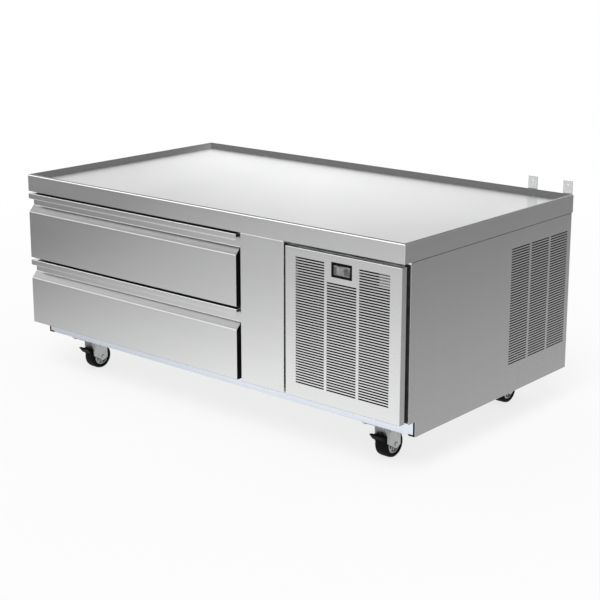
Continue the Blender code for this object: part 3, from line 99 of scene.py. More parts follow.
# Sizes and colours that a user may change


def length(name, description, default, high=0.1):
    return FloatProperty(name=name, description=description, default=default, min=0.0, max=high,
                         unit="LENGTH", subtype="DISTANCE", precision=4)


def fraction(name, description, default, low=0.0, high=1.0):
    return FloatProperty(name=name, description=description, default=default, min=low, max=high, subtype="FACTOR")


def angle(name, description, degrees):
    return FloatProperty(name=name, description=description, default=math.radians(degrees), subtype="ANGLE")


def number(name, description, default):
    return FloatProperty(name=name, description=description, default=default)


def colour(name, description, default):
    return FloatVectorProperty(name=name, description=description, default=default, min=0.0, max=1.0,
                               size=3, subtype="COLOR")


class ChefBaseSizes(bpy.types.PropertyGroup):
    """Sizes of the finishing detail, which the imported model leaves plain"""

    sheet: length("Panel sheet", "Thickness of the folded stainless panels", 0.0012)
    fold_round: length("Fold round", "Outside radius of a folded sheet edge", 0.0016)
    rim_round: length("Rim round", "Radius along the top of the worktop's rim", 0.0045)
    slope_round: length("Slope round", "Radius where the rim's slope meets the deck", 0.0040)
    corner_round: length("Corner round", "Radius of the worktop's standing corners", 0.0016)
    edge_break: length("Edge break", "Bevel on cut and machined edges", 0.0005)
    lip_round: length("Lip round", "Radius of the folded lip of a drawer front", 0.0019)
    slot_share: fraction("Slot share", "Height of a slot, as its share of the pitch", 0.55, 0.2, 0.7)
    fin_pitch: length("Fin pitch", "Distance between two coil fins", 0.0032)
    fin_sheet: length("Fin sheet", "Thickness of a coil fin", 0.0003)
    coil_tube: length("Coil tube", "Outside radius of the coils' tubes", 0.0048)
    tube_pitch: length("Tube pitch", "Distance between two passes of a coil's tube", 0.0254)
    line_bend: length("Line bend", "Bend radius of the copper lines", 0.025)
    screw_head: length("Screw head", "Radius of a panel screw's head", 0.0042)
    rivet_head: length("Rivet head", "Radius of a rivet's head", 0.0032)
    guard_wire: length("Guard wire", "Radius of the fan guards' wire", 0.0014)
    blade_count: IntProperty(name="Fan blades", description="Blades on each fan", default=5, min=3, max=9)


class ChefBaseColours(bpy.types.PropertyGroup):
    """Colours of the finishes"""

    stainless: colour("Stainless", "Satin stainless steel", (0.720, 0.722, 0.726))
    rail: colour("Rail film", "Pale blue film on the lower front rail", (0.850, 0.905, 1.000))
    galvanised: colour("Galvanised", "Zinc coated sheet", (0.520, 0.527, 0.535))
    zinc: colour("Zinc plate", "Bright zinc plating on hardware", (0.470, 0.475, 0.480))
    enamel: colour("Enamel", "Black baked enamel", (0.006, 0.006, 0.0065))
    plastic: colour("Black plastic", "Moulded black plastic", (0.004, 0.004, 0.004))
    tyre: colour("Tyre", "Caster tyre", (0.0045, 0.0045, 0.0045))
    hub: colour("Wheel hub", "Grey caster hub", (0.420, 0.425, 0.430))
    vinyl: colour("Gasket", "Drawer gasket vinyl", (0.016, 0.016, 0.017))
    foam: colour("Foam", "Insulating foam", (0.780, 0.660, 0.360))
    board: colour("Board", "Plywood under the worktop", (0.520, 0.370, 0.220))
    copper: colour("Copper", "Copper tube", (0.740, 0.400, 0.260))
    aluminium: colour("Aluminium", "Coil fins", (0.400, 0.405, 0.410))
    white: colour("Pale plastic", "Moulded pale plastic", (0.560, 0.560, 0.545))
    glass: colour("Display window", "Unlit display window", (0.215, 0.218, 0.222))


class ChefBaseStage(bpy.types.PropertyGroup):
    """Camera, lamps and floor"""

    camera_place: FloatVectorProperty(name="Camera place", description="Where the camera stands",
                                      default=(2.6349, -3.0398, 1.3893), subtype="TRANSLATION")
    camera_turn: angle("Camera turn", "Heading of the camera, from +Y towards -X", 40.53)
    camera_pitch: angle("Camera pitch", "How far the camera looks down", 13.155)
    lens: number("Lens", "Focal length of the camera, in millimetres", 83.51)
    shift: number("Shift", "Vertical shift of the camera", -0.1)
    ambient: number("Ambient", "Strength of the even studio light", 0.60)
    key: number("Key light", "Strength of the soft key light, as its share of a lit floor", 0.40)
    key_softness: angle("Key softness", "Angle that the key light spreads over", 34)
    floor_tone: colour("Floor", "Colour of the studio floor", (0.90, 0.90, 0.90))
    floor_lift: fraction("Floor lift", "Share of the floor that shows the backdrop", 0.76)
    ceiling_tone: number("Ceiling tone", "Brightness of the ceiling in reflections", 0.20)
    back_glow: number("Back card", "Brightness of the card behind, which the deck reflects", 1.38)
    front_glow: number("Front card", "Brightness of the card that lights up front edges", 2.3)


# Node trees


class Wiring:
    """A node tree under construction, with short calls to add a node and join it to others"""

    def __init__(self, tree):
        self.tree = tree

    def add(self, kind, joins=None, **settings):
        node = self.tree.nodes.new(kind)
        for key, value in settings.items():
            setattr(node, key, value)
        for socket, source in (joins or {}).items():
            if isinstance(source, bpy.types.NodeSocket):
                self.tree.links.new(source, node.inputs[socket])
            else:
                node.inputs[socket].default_value = source
        return node

    def out(self, kind, output, joins=None, **settings):
        """The chosen output of a new node"""
        return self.add(kind, joins, **settings).outputs[output]

    def math(self, operation, first, second):
        return self.out("ShaderNodeMath", 0, {0: first, 1: second}, operation=operation)

    def graded(self, source, start, end, first, last):
        """A value that goes from first to last as the source goes from start to end"""
        return self.out("ShaderNodeMapRange", "Result", {"Value": source, "From Min": start, "From Max": end,
                                                         "To Min": first, "To Max": last})


class Recipe(NamedTuple):
    """A finish: its patterns by name, and what they do to the colour, the roughness and the relief.
    A pattern is noise (scale, detail, distortion, stretch), cells (scale, output) or a mix (first, second, share)"""

    name: str
    colour: str
    roughness: float
    metallic: float
    patterns: dict
    shade: tuple
    rough: tuple
    relief: tuple
    sockets: dict = {}


MIDDLE, WHOLE = (0.3, 0.7), (0.0, 1.0)

RECIPES = {
    # Satin stainless: fine lines along the grain, broad handling marks, and roughness that follows both
    "stainless": Recipe(
        "satin_stainless", "stainless", 0.34, 1.0,
        {"lines": ("noise", 1.0, 3.0, 0.0, (9.0, 900.0)), "bands": ("noise", 1.0, 2.0, 0.0, (1.2, 60.0)),
         "marks": ("noise", 3.2, 4.0, 0.4), "streaks": ("mixed", "lines", "bands", 0.35),
         "rub": ("mixed", "streaks", "marks", 0.45)},
        ("streaks", 0.98, 1.012, MIDDLE), ("rub", 0.23, 0.275, MIDDLE), ("lines", 0.02, 0.0001)),
    # The lower rail under its pale blue protective film, which lies slightly uneven
    "rail": Recipe(
        "filmed_rail", "rail", 0.28, 0.75,
        {"waves": ("noise", 9.0, 3.0, 0.0, (1.0, 1.0, 0.3)), "fine": ("noise", 260.0, 2.0),
         "both": ("mixed", "waves", "fine", 0.2)},
        ("waves", 0.97, 1.02, MIDDLE), ("both", 0.25, 0.31, MIDDLE), ("waves", 0.04, 0.0003),
        {"Coat Weight": 0.20, "Coat Roughness": 0.25}),
    # Hot-dip galvanised sheet with its spangle of zinc crystals
    "galvanised": Recipe(
        "galvanised_spangle", "galvanised", 0.42, 1.0,
        {"flecks": ("noise", 220.0, 3.0), "crystals": ("cells", 95.0, "Red"), "facets": ("cells", 95.0, "Green"),
         "tone": ("mixed", "crystals", "flecks", 0.35), "sheen": ("mixed", "facets", "flecks", 0.3)},
        ("tone", 0.93, 1.03, (0.15, 0.85)), ("sheen", 0.36, 0.50, WHOLE), ("tone", 0.05, 0.0002)),
    # Bright zinc plate with a faint cloudy passivation
    "zinc": Recipe(
        "zinc_plate", "zinc", 0.30, 1.0,
        {"bloom": ("noise", 60.0, 4.0, 0.6), "grit": ("noise", 900.0, 2.0), "both": ("mixed", "bloom", "grit", 0.5)},
        ("bloom", 0.88, 1.06, MIDDLE), ("both", 0.22, 0.42, MIDDLE), ("grit", 0.08, 0.0001)),
    # Black baked enamel with a light orange peel
    "enamel": Recipe(
        "black_enamel", "enamel", 0.42, 0.0, {"peel": ("noise", 420.0, 1.0), "dust": ("noise", 28.0, 4.0)},
        ("dust", 0.8, 1.7, MIDDLE), ("dust", 0.34, 0.52, MIDDLE), ("peel", 0.20, 0.0004),
        {"Specular IOR Level": 0.02}),
    # Black plastic with the fine spark texture of its mould
    "plastic": Recipe(
        "moulded_black", "plastic", 0.42, 0.0,
        {"spark": ("noise", 1500.0, 2.0), "rub": ("noise", 35.0, 3.0), "both": ("mixed", "spark", "rub", 0.5)},
        ("rub", 0.8, 1.6, MIDDLE), ("both", 0.32, 0.52, MIDDLE), ("spark", 0.25, 0.0002),
        {"Specular IOR Level": 0.05}),
    # Solid tyre rubber, dull with a dusty bloom
    "tyre": Recipe(
        "tyre_rubber", "tyre", 0.55, 0.0,
        {"bloom": ("noise", 45.0, 5.0), "skin": ("noise", 1100.0, 2.0), "both": ("mixed", "bloom", "skin", 0.4)},
        ("bloom", 0.7, 1.8, MIDDLE), ("both", 0.40, 0.66, MIDDLE), ("skin", 0.22, 0.0002),
        {"Specular IOR Level": 0.05}),
    # The casters' grey hub, a die casting with a soft sheen
    "hub": Recipe(
        "hub_casting", "hub", 0.36, 0.8, {"grain": ("noise", 700.0, 3.0), "stain": ("noise", 50.0, 3.0)},
        ("stain", 0.82, 1.12, MIDDLE), ("grain", 0.28, 0.50, MIDDLE), ("grain", 0.18, 0.0002)),
    # Soft black vinyl of the drawer gaskets
    "vinyl": Recipe(
        "gasket_vinyl", "vinyl", 0.50, 0.0,
        {"skin": ("noise", 600.0, 2.0), "wipe": ("noise", 22.0, 3.0, 0.0, (1.0, 1.0, 3.0)),
         "both": ("mixed", "skin", "wipe", 0.6)},
        ("wipe", 0.8, 1.8, MIDDLE), ("both", 0.40, 0.60, MIDDLE), ("skin", 0.15, 0.0002)),
    # Rigid insulating foam: closed pores in a yellow skin
    "foam": Recipe(
        "insulating_foam", "foam", 0.85, 0.0,
        {"pores": ("cells", 420.0, "Distance"), "tint": ("noise", 16.0, 4.0),
         "both": ("mixed", "tint", "pores", 0.3)},
        ("both", 0.82, 1.10, (0.25, 0.7)), ("tint", 0.78, 0.92, WHOLE), ("pores", 0.35, 0.0006)),
    # Plywood: long grain on the face and thin plies through its thickness
    "board": Recipe(
        "plywood_core", "board", 0.70, 0.0,
        {"grain": ("noise", 1.0, 4.0, 0.3, (7.0, 160.0, 260.0)), "plies": ("noise", 1.0, 1.0, 0.0, (1.5, 1.5, 420.0)),
         "figure": ("mixed", "grain", "plies", 0.45)},
        ("figure", 0.72, 1.18, MIDDLE), ("grain", 0.60, 0.82, WHOLE), ("figure", 0.20, 0.0005)),
    # Copper tube, dulled in patches
    "copper": Recipe(
        "drawn_copper", "copper", 0.28, 1.0,
        {"patches": ("noise", 38.0, 4.0, 0.5), "fine": ("noise", 700.0, 2.0),
         "both": ("mixed", "patches", "fine", 0.4)},
        ("patches", 0.62, 1.05, MIDDLE), ("both", 0.20, 0.42, MIDDLE), ("fine", 0.08, 0.0002)),
    # Thin aluminium fin stock
    "aluminium": Recipe(
        "fin_stock", "aluminium", 0.38, 1.0, {"marks": ("noise", 90.0, 3.0, 0.0, (1.0, 1.0, 0.3))},
        ("marks", 0.84, 1.05, MIDDLE), ("marks", 0.30, 0.48, MIDDLE), ("marks", 0.10, 0.0002)),
    # White moulded plastic of the terminal box
    "white": Recipe(
        "moulded_white", "white", 0.42, 0.0, {"spark": ("noise", 900.0, 2.0), "age": ("noise", 20.0, 3.0)},
        ("age", 0.94, 1.02, MIDDLE), ("spark", 0.36, 0.54, MIDDLE), ("spark", 0.18, 0.0002)),
    # The unlit display: a glossy window over a grey mottled panel
    "window": Recipe(
        "display_window", "glass", 0.22, 0.0, {"mottle": ("noise", 70.0, 5.0, 0.5, (1.0, 1.0, 0.7))},
        ("mottle", 0.60, 1.5, (0.36, 0.62)), ("mottle", 0.16, 0.30, MIDDLE), ("mottle", 0.03, 0.0002),
        {"Coat Weight": 0.5, "Coat Roughness": 0.08}),
}


class Finish(Wiring):
    """A Principled material made from a recipe, with its patterns in the object's space.
    detail is the axis that the grain runs along, or the share of the colour that a darker one keeps"""

    def __init__(self, recipe, detail):
        self.grain = detail
        share = detail if isinstance(detail, float) else 1.0
        tone = [each * share for each in getattr(bpy.context.scene.chef_base_colours, recipe.colour)]
        ending = detail.lower() if isinstance(detail, str) else round(100 * share)
        self.material = bpy.data.materials.new(recipe.name if detail is None else f"{recipe.name}_{ending}")
        self.material.use_nodes = True
        self.material.diffuse_color = (*tone, 1.0)
        super().__init__(self.material.node_tree)
        self.place = self.out("ShaderNodeTexCoord", "Object")
        self.patterns = {}
        for label, (kind, *details) in recipe.patterns.items():
            self.patterns[label] = getattr(self, kind)(*details)
        sockets = {"Base Color": (*tone, 1.0), "Roughness": recipe.roughness, "Metallic": recipe.metallic}
        inputs = self.tree.nodes["Principled BSDF"].inputs
        for socket, value in {**sockets, **recipe.sockets}.items():
            inputs[socket].default_value = value
        label, low, high, (start, end) = recipe.rough
        rough = self.graded(self.patterns[label], start, end, low, high)
        label, strength, distance = recipe.relief
        bump = self.out("ShaderNodeBump", "Normal", {"Height": self.patterns[label], "Strength": strength,
                                                     "Distance": distance})
        for socket, source in (("Base Color", self.shaded(tone, *recipe.shade)), ("Roughness", rough),
                               ("Normal", bump)):
            self.tree.links.new(source, inputs[socket])

    def noise(self, scale, detail, distortion=0.0, stretch=(1.0, 1.0, 1.0)):
        """Soft noise. A stretch of two values is along and across the grain"""
        if len(stretch) == 2:
            stretch = tuple(stretch[0] if axis == self.grain else stretch[1] for axis in AXES)
        place = self.out("ShaderNodeMapping", "Vector", {"Vector": self.place, "Scale": stretch})
        return self.out("ShaderNodeTexNoise", "Fac", {"Vector": place, "Scale": scale, "Detail": detail,
                                                      "Distortion": distortion})

    def cells(self, scale, output):
        found = self.add("ShaderNodeTexVoronoi", {"Vector": self.place, "Scale": scale}).outputs
        if output in found:
            return found[output]
        return self.out("ShaderNodeSeparateColor", output, {"Color": found["Color"]})

    def mixed(self, first, second, share):
        first, second = self.patterns[first], self.patterns[second]
        return self.math("ADD", self.math("MULTIPLY", first, 1 - share), self.math("MULTIPLY", second, share))

    def shaded(self, tone, label, low, high, span):
        """The finish's own colour, from low to high times its brightness, along a pattern"""
        ramp = self.add("ShaderNodeValToRGB", {"Fac": self.patterns[label]})
        for element, position, factor in zip(ramp.color_ramp.elements, span, (low, high)):
            element.position, element.color = position, (*(min(1.0, each * factor) for each in tone), 1.0)
        return ramp.outputs["Color"]


FINISHES = {}


def finish(kind, detail=None):
    """The material of this kind, made once for each detail"""
    if (kind, detail) not in FINISHES:
        FINISHES[kind, detail] = Finish(RECIPES[kind], detail).material
    return FINISHES[kind, detail]


# Shapes in mesh code


def arc(centre, radius, start_deg, end_deg, steps):
    """Points on an arc in a plane, both ends included"""
    angles = [math.radians(start_deg + (end_deg - start_deg) * i / steps) for i in range(steps + 1)]
    return [(centre[0] + radius * math.cos(a), centre[1] + radius * math.sin(a)) for a in angles]


def rounded_rectangle(low, high, radius, steps=4):
    """Points round a rectangle in a plane, with its corners rounded"""
    centres = ((high[0] - radius, low[1] + radius, -90), (high[0] - radius, high[1] - radius, 0),
               (low[0] + radius, high[1] - radius, 90), (low[0] + radius, low[1] + radius, 180))
    points = []
    for across, up, start in centres:
        points += arc((across, up), radius, start, start + 90, steps)
    return points


def rounded_outline(corners, steps=5):
    """A closed outline whose corners, each (across, up, radius), are rounded"""
    points = []
    count = len(corners)
    for i, (across, up, radius) in enumerate(corners):
        corner = Vector((across, up))
        before = Vector(corners[i - 1][:2]) - corner
        after = Vector(corners[(i + 1) % count][:2]) - corner
        half = before.angle(after) / 2
        if radius <= 0:
            points.append((across, up))
            continue
        reach = radius / math.tan(half)
        start, end = corner + before.normalized() * reach, corner + after.normalized() * reach
        middle = corner + (before.normalized() + after.normalized()).normalized() * radius / math.sin(half)
        first, last = start - middle, end - middle
        sweep = first.angle(last)
        for j in range(steps + 1):
            share = j / steps
            mix = (first * math.sin((1 - share) * sweep) + last * math.sin(share * sweep)) / math.sin(sweep)
            points.append(tuple(middle + mix))
    return points


def lifted(points, axis, along):
    """Plane points lifted into space: the axis gets one value, and the other two keep their order"""
    at = AXES.index(axis)
    return [(*point[:at], along, *point[at:]) for point in points]


def add_loft(bm, rings, closed=False):
    """Skins rings of equally many points. The ends are capped, or the last ring joins the first"""
    loops = [[bm.verts.new(point) for point in ring] for ring in rings]
    pairs = list(zip(loops, loops[1:]))
    if closed:
        pairs.append((loops[-1], loops[0]))
    else:
        bm.faces.new(loops[0])
        bm.faces.new(loops[-1])
    for first, second in pairs:
        for i in range(len(first)):
            j = (i + 1) % len(first)
            bm.faces.new((first[i], first[j], second[j], second[i]))


def add_drawn(bm, axis, start, end, outline):
    add_loft(bm, [lifted(outline, axis, start), lifted(outline, axis, end)])


def add_slab(bm, low, high):
    outline = [(low[1], low[2]), (high[1], low[2]), (high[1], high[2]), (low[1], high[2])]
    add_drawn(bm, "X", low[0], high[0], outline)


def add_frame(bm, axis, low, high, section, corner, steps=3, closed=False):
    """Rounded rectangles across an axis, one for each (inset, place along it), skinned in order.
    corner gives the radius of a rectangle's corners from its inset"""
    sides = [i for i in range(3) if i != AXES.index(axis)]
    rings = []
    for inset, along in section:
        plane = rounded_rectangle([low[i] + inset for i in sides], [high[i] - inset for i in sides],
                                  corner(inset), steps)
        rings.append(lifted(plane, axis, along))
    add_loft(bm, rings, closed)


def mirrored(profile):
    """A turned profile, followed by its mirror image from its last point back"""
    return [*profile, *((radius, -along) for radius, along in reversed(profile))]


def turned_from_z(axis):
    """The turn that takes +Z onto another axis, given as X, Y or Z with an optional minus sign"""
    turns = {"X": (90, "Y"), "-X": (-90, "Y"), "Y": (-90, "X"), "-Y": (90, "X"), "Z": (0, "X"), "-Z": (180, "X")}
    degrees, about = turns[axis]
    return Matrix.Rotation(math.radians(degrees), 4, about)


def add_turned(bm, axis, centre, profile, sides=FINE_SIDES, closed=False):
    """A profile of (radius, place along the axis) turned about it. A closed one comes back to its start"""
    place = Matrix.Translation(centre) @ turned_from_z(axis)
    loops = []
    for radius, along in profile:
        count = 1 if radius < WELD else sides
        turns = [math.tau * i / sides for i in range(count)]
        loops.append([bm.verts.new(place @ Vector((radius * math.cos(a), radius * math.sin(a), along)))
                      for a in turns])
    pairs = list(zip(loops, loops[1:]))
    if closed:
        pairs.append((loops[-1], loops[0]))
    for first, second in pairs:
        for i in range(sides if len(first) + len(second) > 2 else 0):
            j = (i + 1) % sides
            corners = [first[i % len(first)], first[j % len(first)], second[j % len(second)],
                       second[i % len(second)]]
            bm.faces.new(list(dict.fromkeys(corners)))


def prism(axis, start, end, outline):
    bm = bmesh.new()
    add_drawn(bm, axis, start, end, outline)
    return bm


def cut_by(obj, operation, bm):
    """Cuts the object with a shape, which is used up"""
    tool = make_object(obj.name + "_tool", bm)
    step = obj.modifiers.new("cut", "BOOLEAN")
    step.operation, step.solver, step.object = operation, "EXACT", tool
    settle(obj)
    bpy.data.objects.remove(tool)


def softened(profile, radius, steps=3):
    """A turned profile with its inner corners rounded"""
    points = [profile[0]]
    for before, corner, after in zip(profile, profile[1:], profile[2:]):
        here = Vector(corner)
        back, on = Vector(before) - here, Vector(after) - here
        reach = min(radius, back.length * 0.45, on.length * 0.45)
        start, end = here + back.normalized() * reach, here + on.normalized() * reach
        for i in range(steps + 1):
            share = i / steps
            points.append(tuple(start.lerp(here, share).lerp(here.lerp(end, share), share)))
    points.append(profile[-1])
    return points


def settle(obj):
    """Applies every modifier to the object's mesh"""
    graph = bpy.context.evaluated_depsgraph_get()
    mesh = bpy.data.meshes.new_from_object(obj.evaluated_get(graph), preserve_all_data_layers=True,
                                           depsgraph=graph)
    obj.modifiers.clear()
    old, obj.data = obj.data, mesh
    if not old.users:
        bpy.data.meshes.remove(old)
    mesh.name = obj.name
    return obj


def linked(name, data):
    made = bpy.data.objects.new(name, data)
    bpy.context.scene.collection.objects.link(made)
    return made


def make_object(name, bm, material=None):
    bmesh.ops.recalc_face_normals(bm, faces=bm.faces)
    mesh = bpy.data.meshes.new(name)
    bm.to_mesh(mesh)
    bm.free()
    if material:
        mesh.materials.append(material)
    return linked(name, mesh)


def smoothed(obj, rounding=0.0, steps=2, sharp_deg=SHARP_DEG):
    """Rounds the sharp edges, then shades curves smooth and flats flat"""
    mesh = obj.data
    mesh.shade_smooth()
    mesh.set_sharp_from_angle(angle=math.radians(sharp_deg))
    if rounding:
        bevel = obj.modifiers.new("edges", "BEVEL")
        bevel.width, bevel.segments = rounding, steps
        bevel.limit_method, bevel.angle_limit = "ANGLE", math.radians(ROUND_FROM_DEG)
        bevel.use_clamp_overlap, bevel.miter_outer = True, "MITER_ARC"
    weigh = obj.modifiers.new("shading", "WEIGHTED_NORMAL")
    weigh.keep_sharp, weigh.weight = True, 60
    return settle(obj)


def make_piece(name, bm, material, rounding=0.0, steps=2, sharp_deg=SHARP_DEG):
    return smoothed(make_object(name, bm, material), rounding, steps, sharp_deg)


def copied(node):
    """The CAD node's shape as a welded bmesh, its flat faces whole where they are convex"""
    bm = bmesh.new()
    bm.from_mesh(NODES[node].data)
    bmesh.ops.remove_doubles(bm, verts=bm.verts, dist=WELD)
    bmesh.ops.dissolve_limit(bm, angle_limit=math.radians(FLAT_DEG), verts=bm.verts, edges=bm.edges)
    bmesh.ops.connect_verts_concave(bm, faces=bm.faces)
    return bm


def attach(obj, node):
    """The piece rides with the node's body"""
    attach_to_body(obj, BODY_OF[node])
    return obj


def stand_in(obj, *nodes):
    """The piece stands for these CAD nodes, on the body of the first"""
    attach(obj, nodes[0])
    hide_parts(*nodes)
    return obj


def dressed(node, name, material, rounding=0.0, steps=2, sharp_deg=SHARP_DEG):
    """The node's own shape with rounded edges and a finished surface"""
    return stand_in(make_piece(name, copied(node), material, rounding, steps, sharp_deg), node)


@contextmanager
def new_piece(name, node, material, *edges, slot=None, replaces=False, **shading):
    """A piece whose shape is added to a bmesh inside the block, and which then rides with the node's body.
    edges is the rounding of its edges and its steps"""
    bm = bmesh.new()
    yield bm
    made = make_piece(name, bm, material, *edges, **shading)
    if replaces:
        stand_in(made, node)
    else:
        attach(made, node)


def add_slab_piece(name, node, material, slot, low, high, *edges):
    with new_piece(name, node, material, *edges, slot=slot) as bm:
        add_slab(bm, low, high)


def folded_sheet(name, bm, material, sheet, fold_edges, fold_round, outside):
    """An open surface of sheet metal: its folds are rounded, then it gets its thickness on the inside.
    outside is a vector that the largest face across it looks along"""
    bmesh.ops.recalc_face_normals(bm, faces=bm.faces)
    bm.normal_update()
    facing = max(bm.faces, key=lambda face: face.calc_area() * abs(face.normal.dot(outside)))
    if facing.normal.dot(outside) < 0:
        bmesh.ops.reverse_faces(bm, faces=bm.faces)
    if fold_edges:
        bmesh.ops.bevel(bm, geom=fold_edges, offset=fold_round, offset_type="OFFSET", segments=3,
                        profile=0.5, affect="EDGES", clamp_overlap=True)
    mesh = bpy.data.meshes.new(name)
    bm.to_mesh(mesh)
    bm.free()
    mesh.materials.append(material)
    made = linked(name, mesh)
    mesh.shade_smooth()
    thick = made.modifiers.new("sheet", "SOLIDIFY")
    thick.thickness, thick.offset, thick.use_even_offset = sheet, -1.0, True
    return smoothed(settle(made))


# Geometry Nodes trees for what repeats or follows a path


class Steps(Wiring):
    """A Geometry Nodes tree with named inputs, ending in real geometry with a material"""

    def __init__(self, name, **inputs):
        super().__init__(bpy.data.node_groups.new(name, "GeometryNodeTree"))
        sockets = self.tree.interface
        kinds = {"Geometry": "Geometry", **inputs, "Material": "Material"}
        for label, kind in kinds.items():
            sockets.new_socket(label.replace("_", " "), in_out="INPUT", socket_type="NodeSocket" + kind)
        sockets.new_socket("Geometry", in_out="OUTPUT", socket_type="NodeSocketGeometry")
        self.given = self.add("NodeGroupInput").outputs

    def placed(self, points, shape, **more):
        """The shape at every point"""
        return self.out("GeometryNodeInstanceOnPoints", "Instances", {"Points": points, "Instance": shape, **more})

    def end(self, geometry):
        real = self.out("GeometryNodeRealizeInstances", "Geometry", {"Geometry": geometry})
        coated = self.out("GeometryNodeSetMaterial", "Geometry", {"Geometry": real,
                                                                  "Material": self.given["Material"]})
        self.add("NodeGroupOutput", {"Geometry": coated})
        return self.tree


def line_tree():
    """Repeats a shape in a line"""
    made = Steps("repeat_in_line", Count="Int", Step="Vector")
    points = made.out("GeometryNodeMeshLine", "Mesh", {"Count": made.given["Count"], "Offset": made.given["Step"]})
    return made.end(made.placed(points, made.given["Geometry"]))


def places_tree():
    """Repeats a shape at the points of another object"""
    made = Steps("repeat_at_places", Places="Object")
    points = made.out("GeometryNodeObjectInfo", "Geometry", {"Object": made.given["Places"]})
    return made.end(made.placed(points, made.given["Geometry"]))


def round_tree():
    """Repeats a shape evenly about an axis through a centre"""
    made = Steps("repeat_round", Count="Int", Axis="Vector", Centre="Vector")
    given = made.given
    points = made.out("GeometryNodeMeshLine", "Mesh", {"Count": given["Count"], "Start Location": given["Centre"],
                                                       "Offset": (0, 0, 0)})
    back = made.out("ShaderNodeVectorMath", 0, {0: given["Centre"], 1: (-1, -1, -1)}, operation="MULTIPLY")
    centred = made.out("GeometryNodeTransform", "Geometry", {"Geometry": given["Geometry"], "Translation": back})
    share = made.math("DIVIDE", made.out("GeometryNodeInputIndex", "Index"), given["Count"])
    turn = made.out("FunctionNodeAxisAngleToRotation", "Rotation",
                    {"Axis": given["Axis"], "Angle": made.math("MULTIPLY", share, math.tau)})
    return made.end(made.placed(points, centred, Rotation=turn))


def sweep_tree():
    """Runs a round tube along the edges of a mesh, with every corner bent"""
    made = Steps("sweep_tube", Radius="Float", Bend="Float", Bend_Steps="Int", Sides="Int")
    given = made.given
    route = made.out("GeometryNodeMeshToCurve", "Curve", {"Mesh": given["Geometry"]})
    bent = made.out("GeometryNodeFilletCurve", "Curve",
                    {"Curve": route, "Count": given["Bend Steps"], "Radius": given["Bend"], "Limit Radius": True},
                    mode="POLY")
    section = made.out("GeometryNodeCurvePrimitiveCircle", "Curve", {"Resolution": given["Sides"],
                                                                     "Radius": given["Radius"]})
    return made.end(made.out("GeometryNodeCurveToMesh", "Mesh", {"Curve": bent, "Profile Curve": section,
                                                                 "Fill Caps": True}))


TREES = {}
TREE_MAKERS = {"line": line_tree, "places": places_tree, "round": round_tree, "sweep": sweep_tree}


def grown(obj, tree_name, material, **values):
    """Runs a tree on the object with these inputs, and keeps the result as its mesh"""
    if tree_name not in TREES:
        TREES[tree_name] = TREE_MAKERS[tree_name]()
    tree = TREES[tree_name]
    step = obj.modifiers.new(tree.name, "NODES")
    step.node_group = tree
    values = {key.replace("_", " ").title(): value for key, value in values.items()}
    values["Material"] = material
    for socket in tree.interface.items_tree:
        if socket.in_out == "INPUT" and socket.name in values:
            step[socket.identifier] = values[socket.name]
    return smoothed(settle(obj))


def in_line(name, bm, material, count, step):
    return grown(make_object(name, bm), "line", material, count=count, step=step)


def round_axis(name, bm, material, count, axis, centre):
    return grown(make_object(name, bm), "round", material, count=count, axis=axis, centre=tuple(centre))


def wire_object(name, points, edges=()):
    mesh = bpy.data.meshes.new(name)
    mesh.from_pydata([tuple(point) for point in points], edges, [])
    return linked(name, mesh)


def at_places(name, bm, material, places):
    guide = wire_object(name + "_places", places)
    made = grown(make_object(name, bm), "places", material, places=guide)
    bpy.data.objects.remove(guide)
    return made


def swept(name, routes, material, radius, bend=0.0, sides=12, steps=8, ring=False):
    """Tubes along routes of points. A ring joins each route's last point to its first"""
    points, edges = [], []
    for route in routes:
        first = len(points)
        points += route
        edges += [(i, i + 1) for i in range(first, len(points) - 1)]
        if ring:
            edges.append((len(points) - 1, first))
    return grown(wire_object(name, points, edges), "sweep", material, radius=radius, bend=bend, sides=sides,
                 bend_steps=steps)


# Profiles of small heads, in shares of their radius: a low dome with a recess, and one with a mandrel's dimple
HEADS = {"screw": ((0, 0.35), (0.28, 0.35), (0.36, 0.62), (0.70, 0.52), (1, 0.14), (1, -0.1), (0, -0.1)),
         "rivet": ((0, 0.22), (0.25, 0.22), (0.34, 0.46), (0.72, 0.34), (1, 0.06), (1, -0.1), (0, -0.1))}
HEAD_SIDES = 12


def fastened(name, kind, axis, places, node, size=None, height=0.004):
    """A set of screws, rivets or hexagon bolts on washers, at places on a node's body"""
    sizes = bpy.context.scene.chef_base_sizes
    radius = size or (sizes.rivet_head if kind == "rivet" else sizes.screw_head)
    bm = bmesh.new()
    if kind == "hex":
        washer, rim = 0.2 * height, 1.35 * radius
        add_turned(bm, axis, ORIGIN, [(0, 0), (rim, 0), (rim, washer), (0, washer)], SMALL_SIDES)
        add_turned(bm, axis, ORIGIN, [(0, washer), (radius, washer), (radius, 0.9 * height),
                                      (0.86 * radius, height), (0, height)], 6)
    else:
        add_turned(bm, axis, ORIGIN, [(across * radius, up * radius) for across, up in HEADS[kind]], HEAD_SIDES)
    return attach(at_places(name, bm, finish("zinc"), places), node)


# Folded sheet, with openings where it has slots


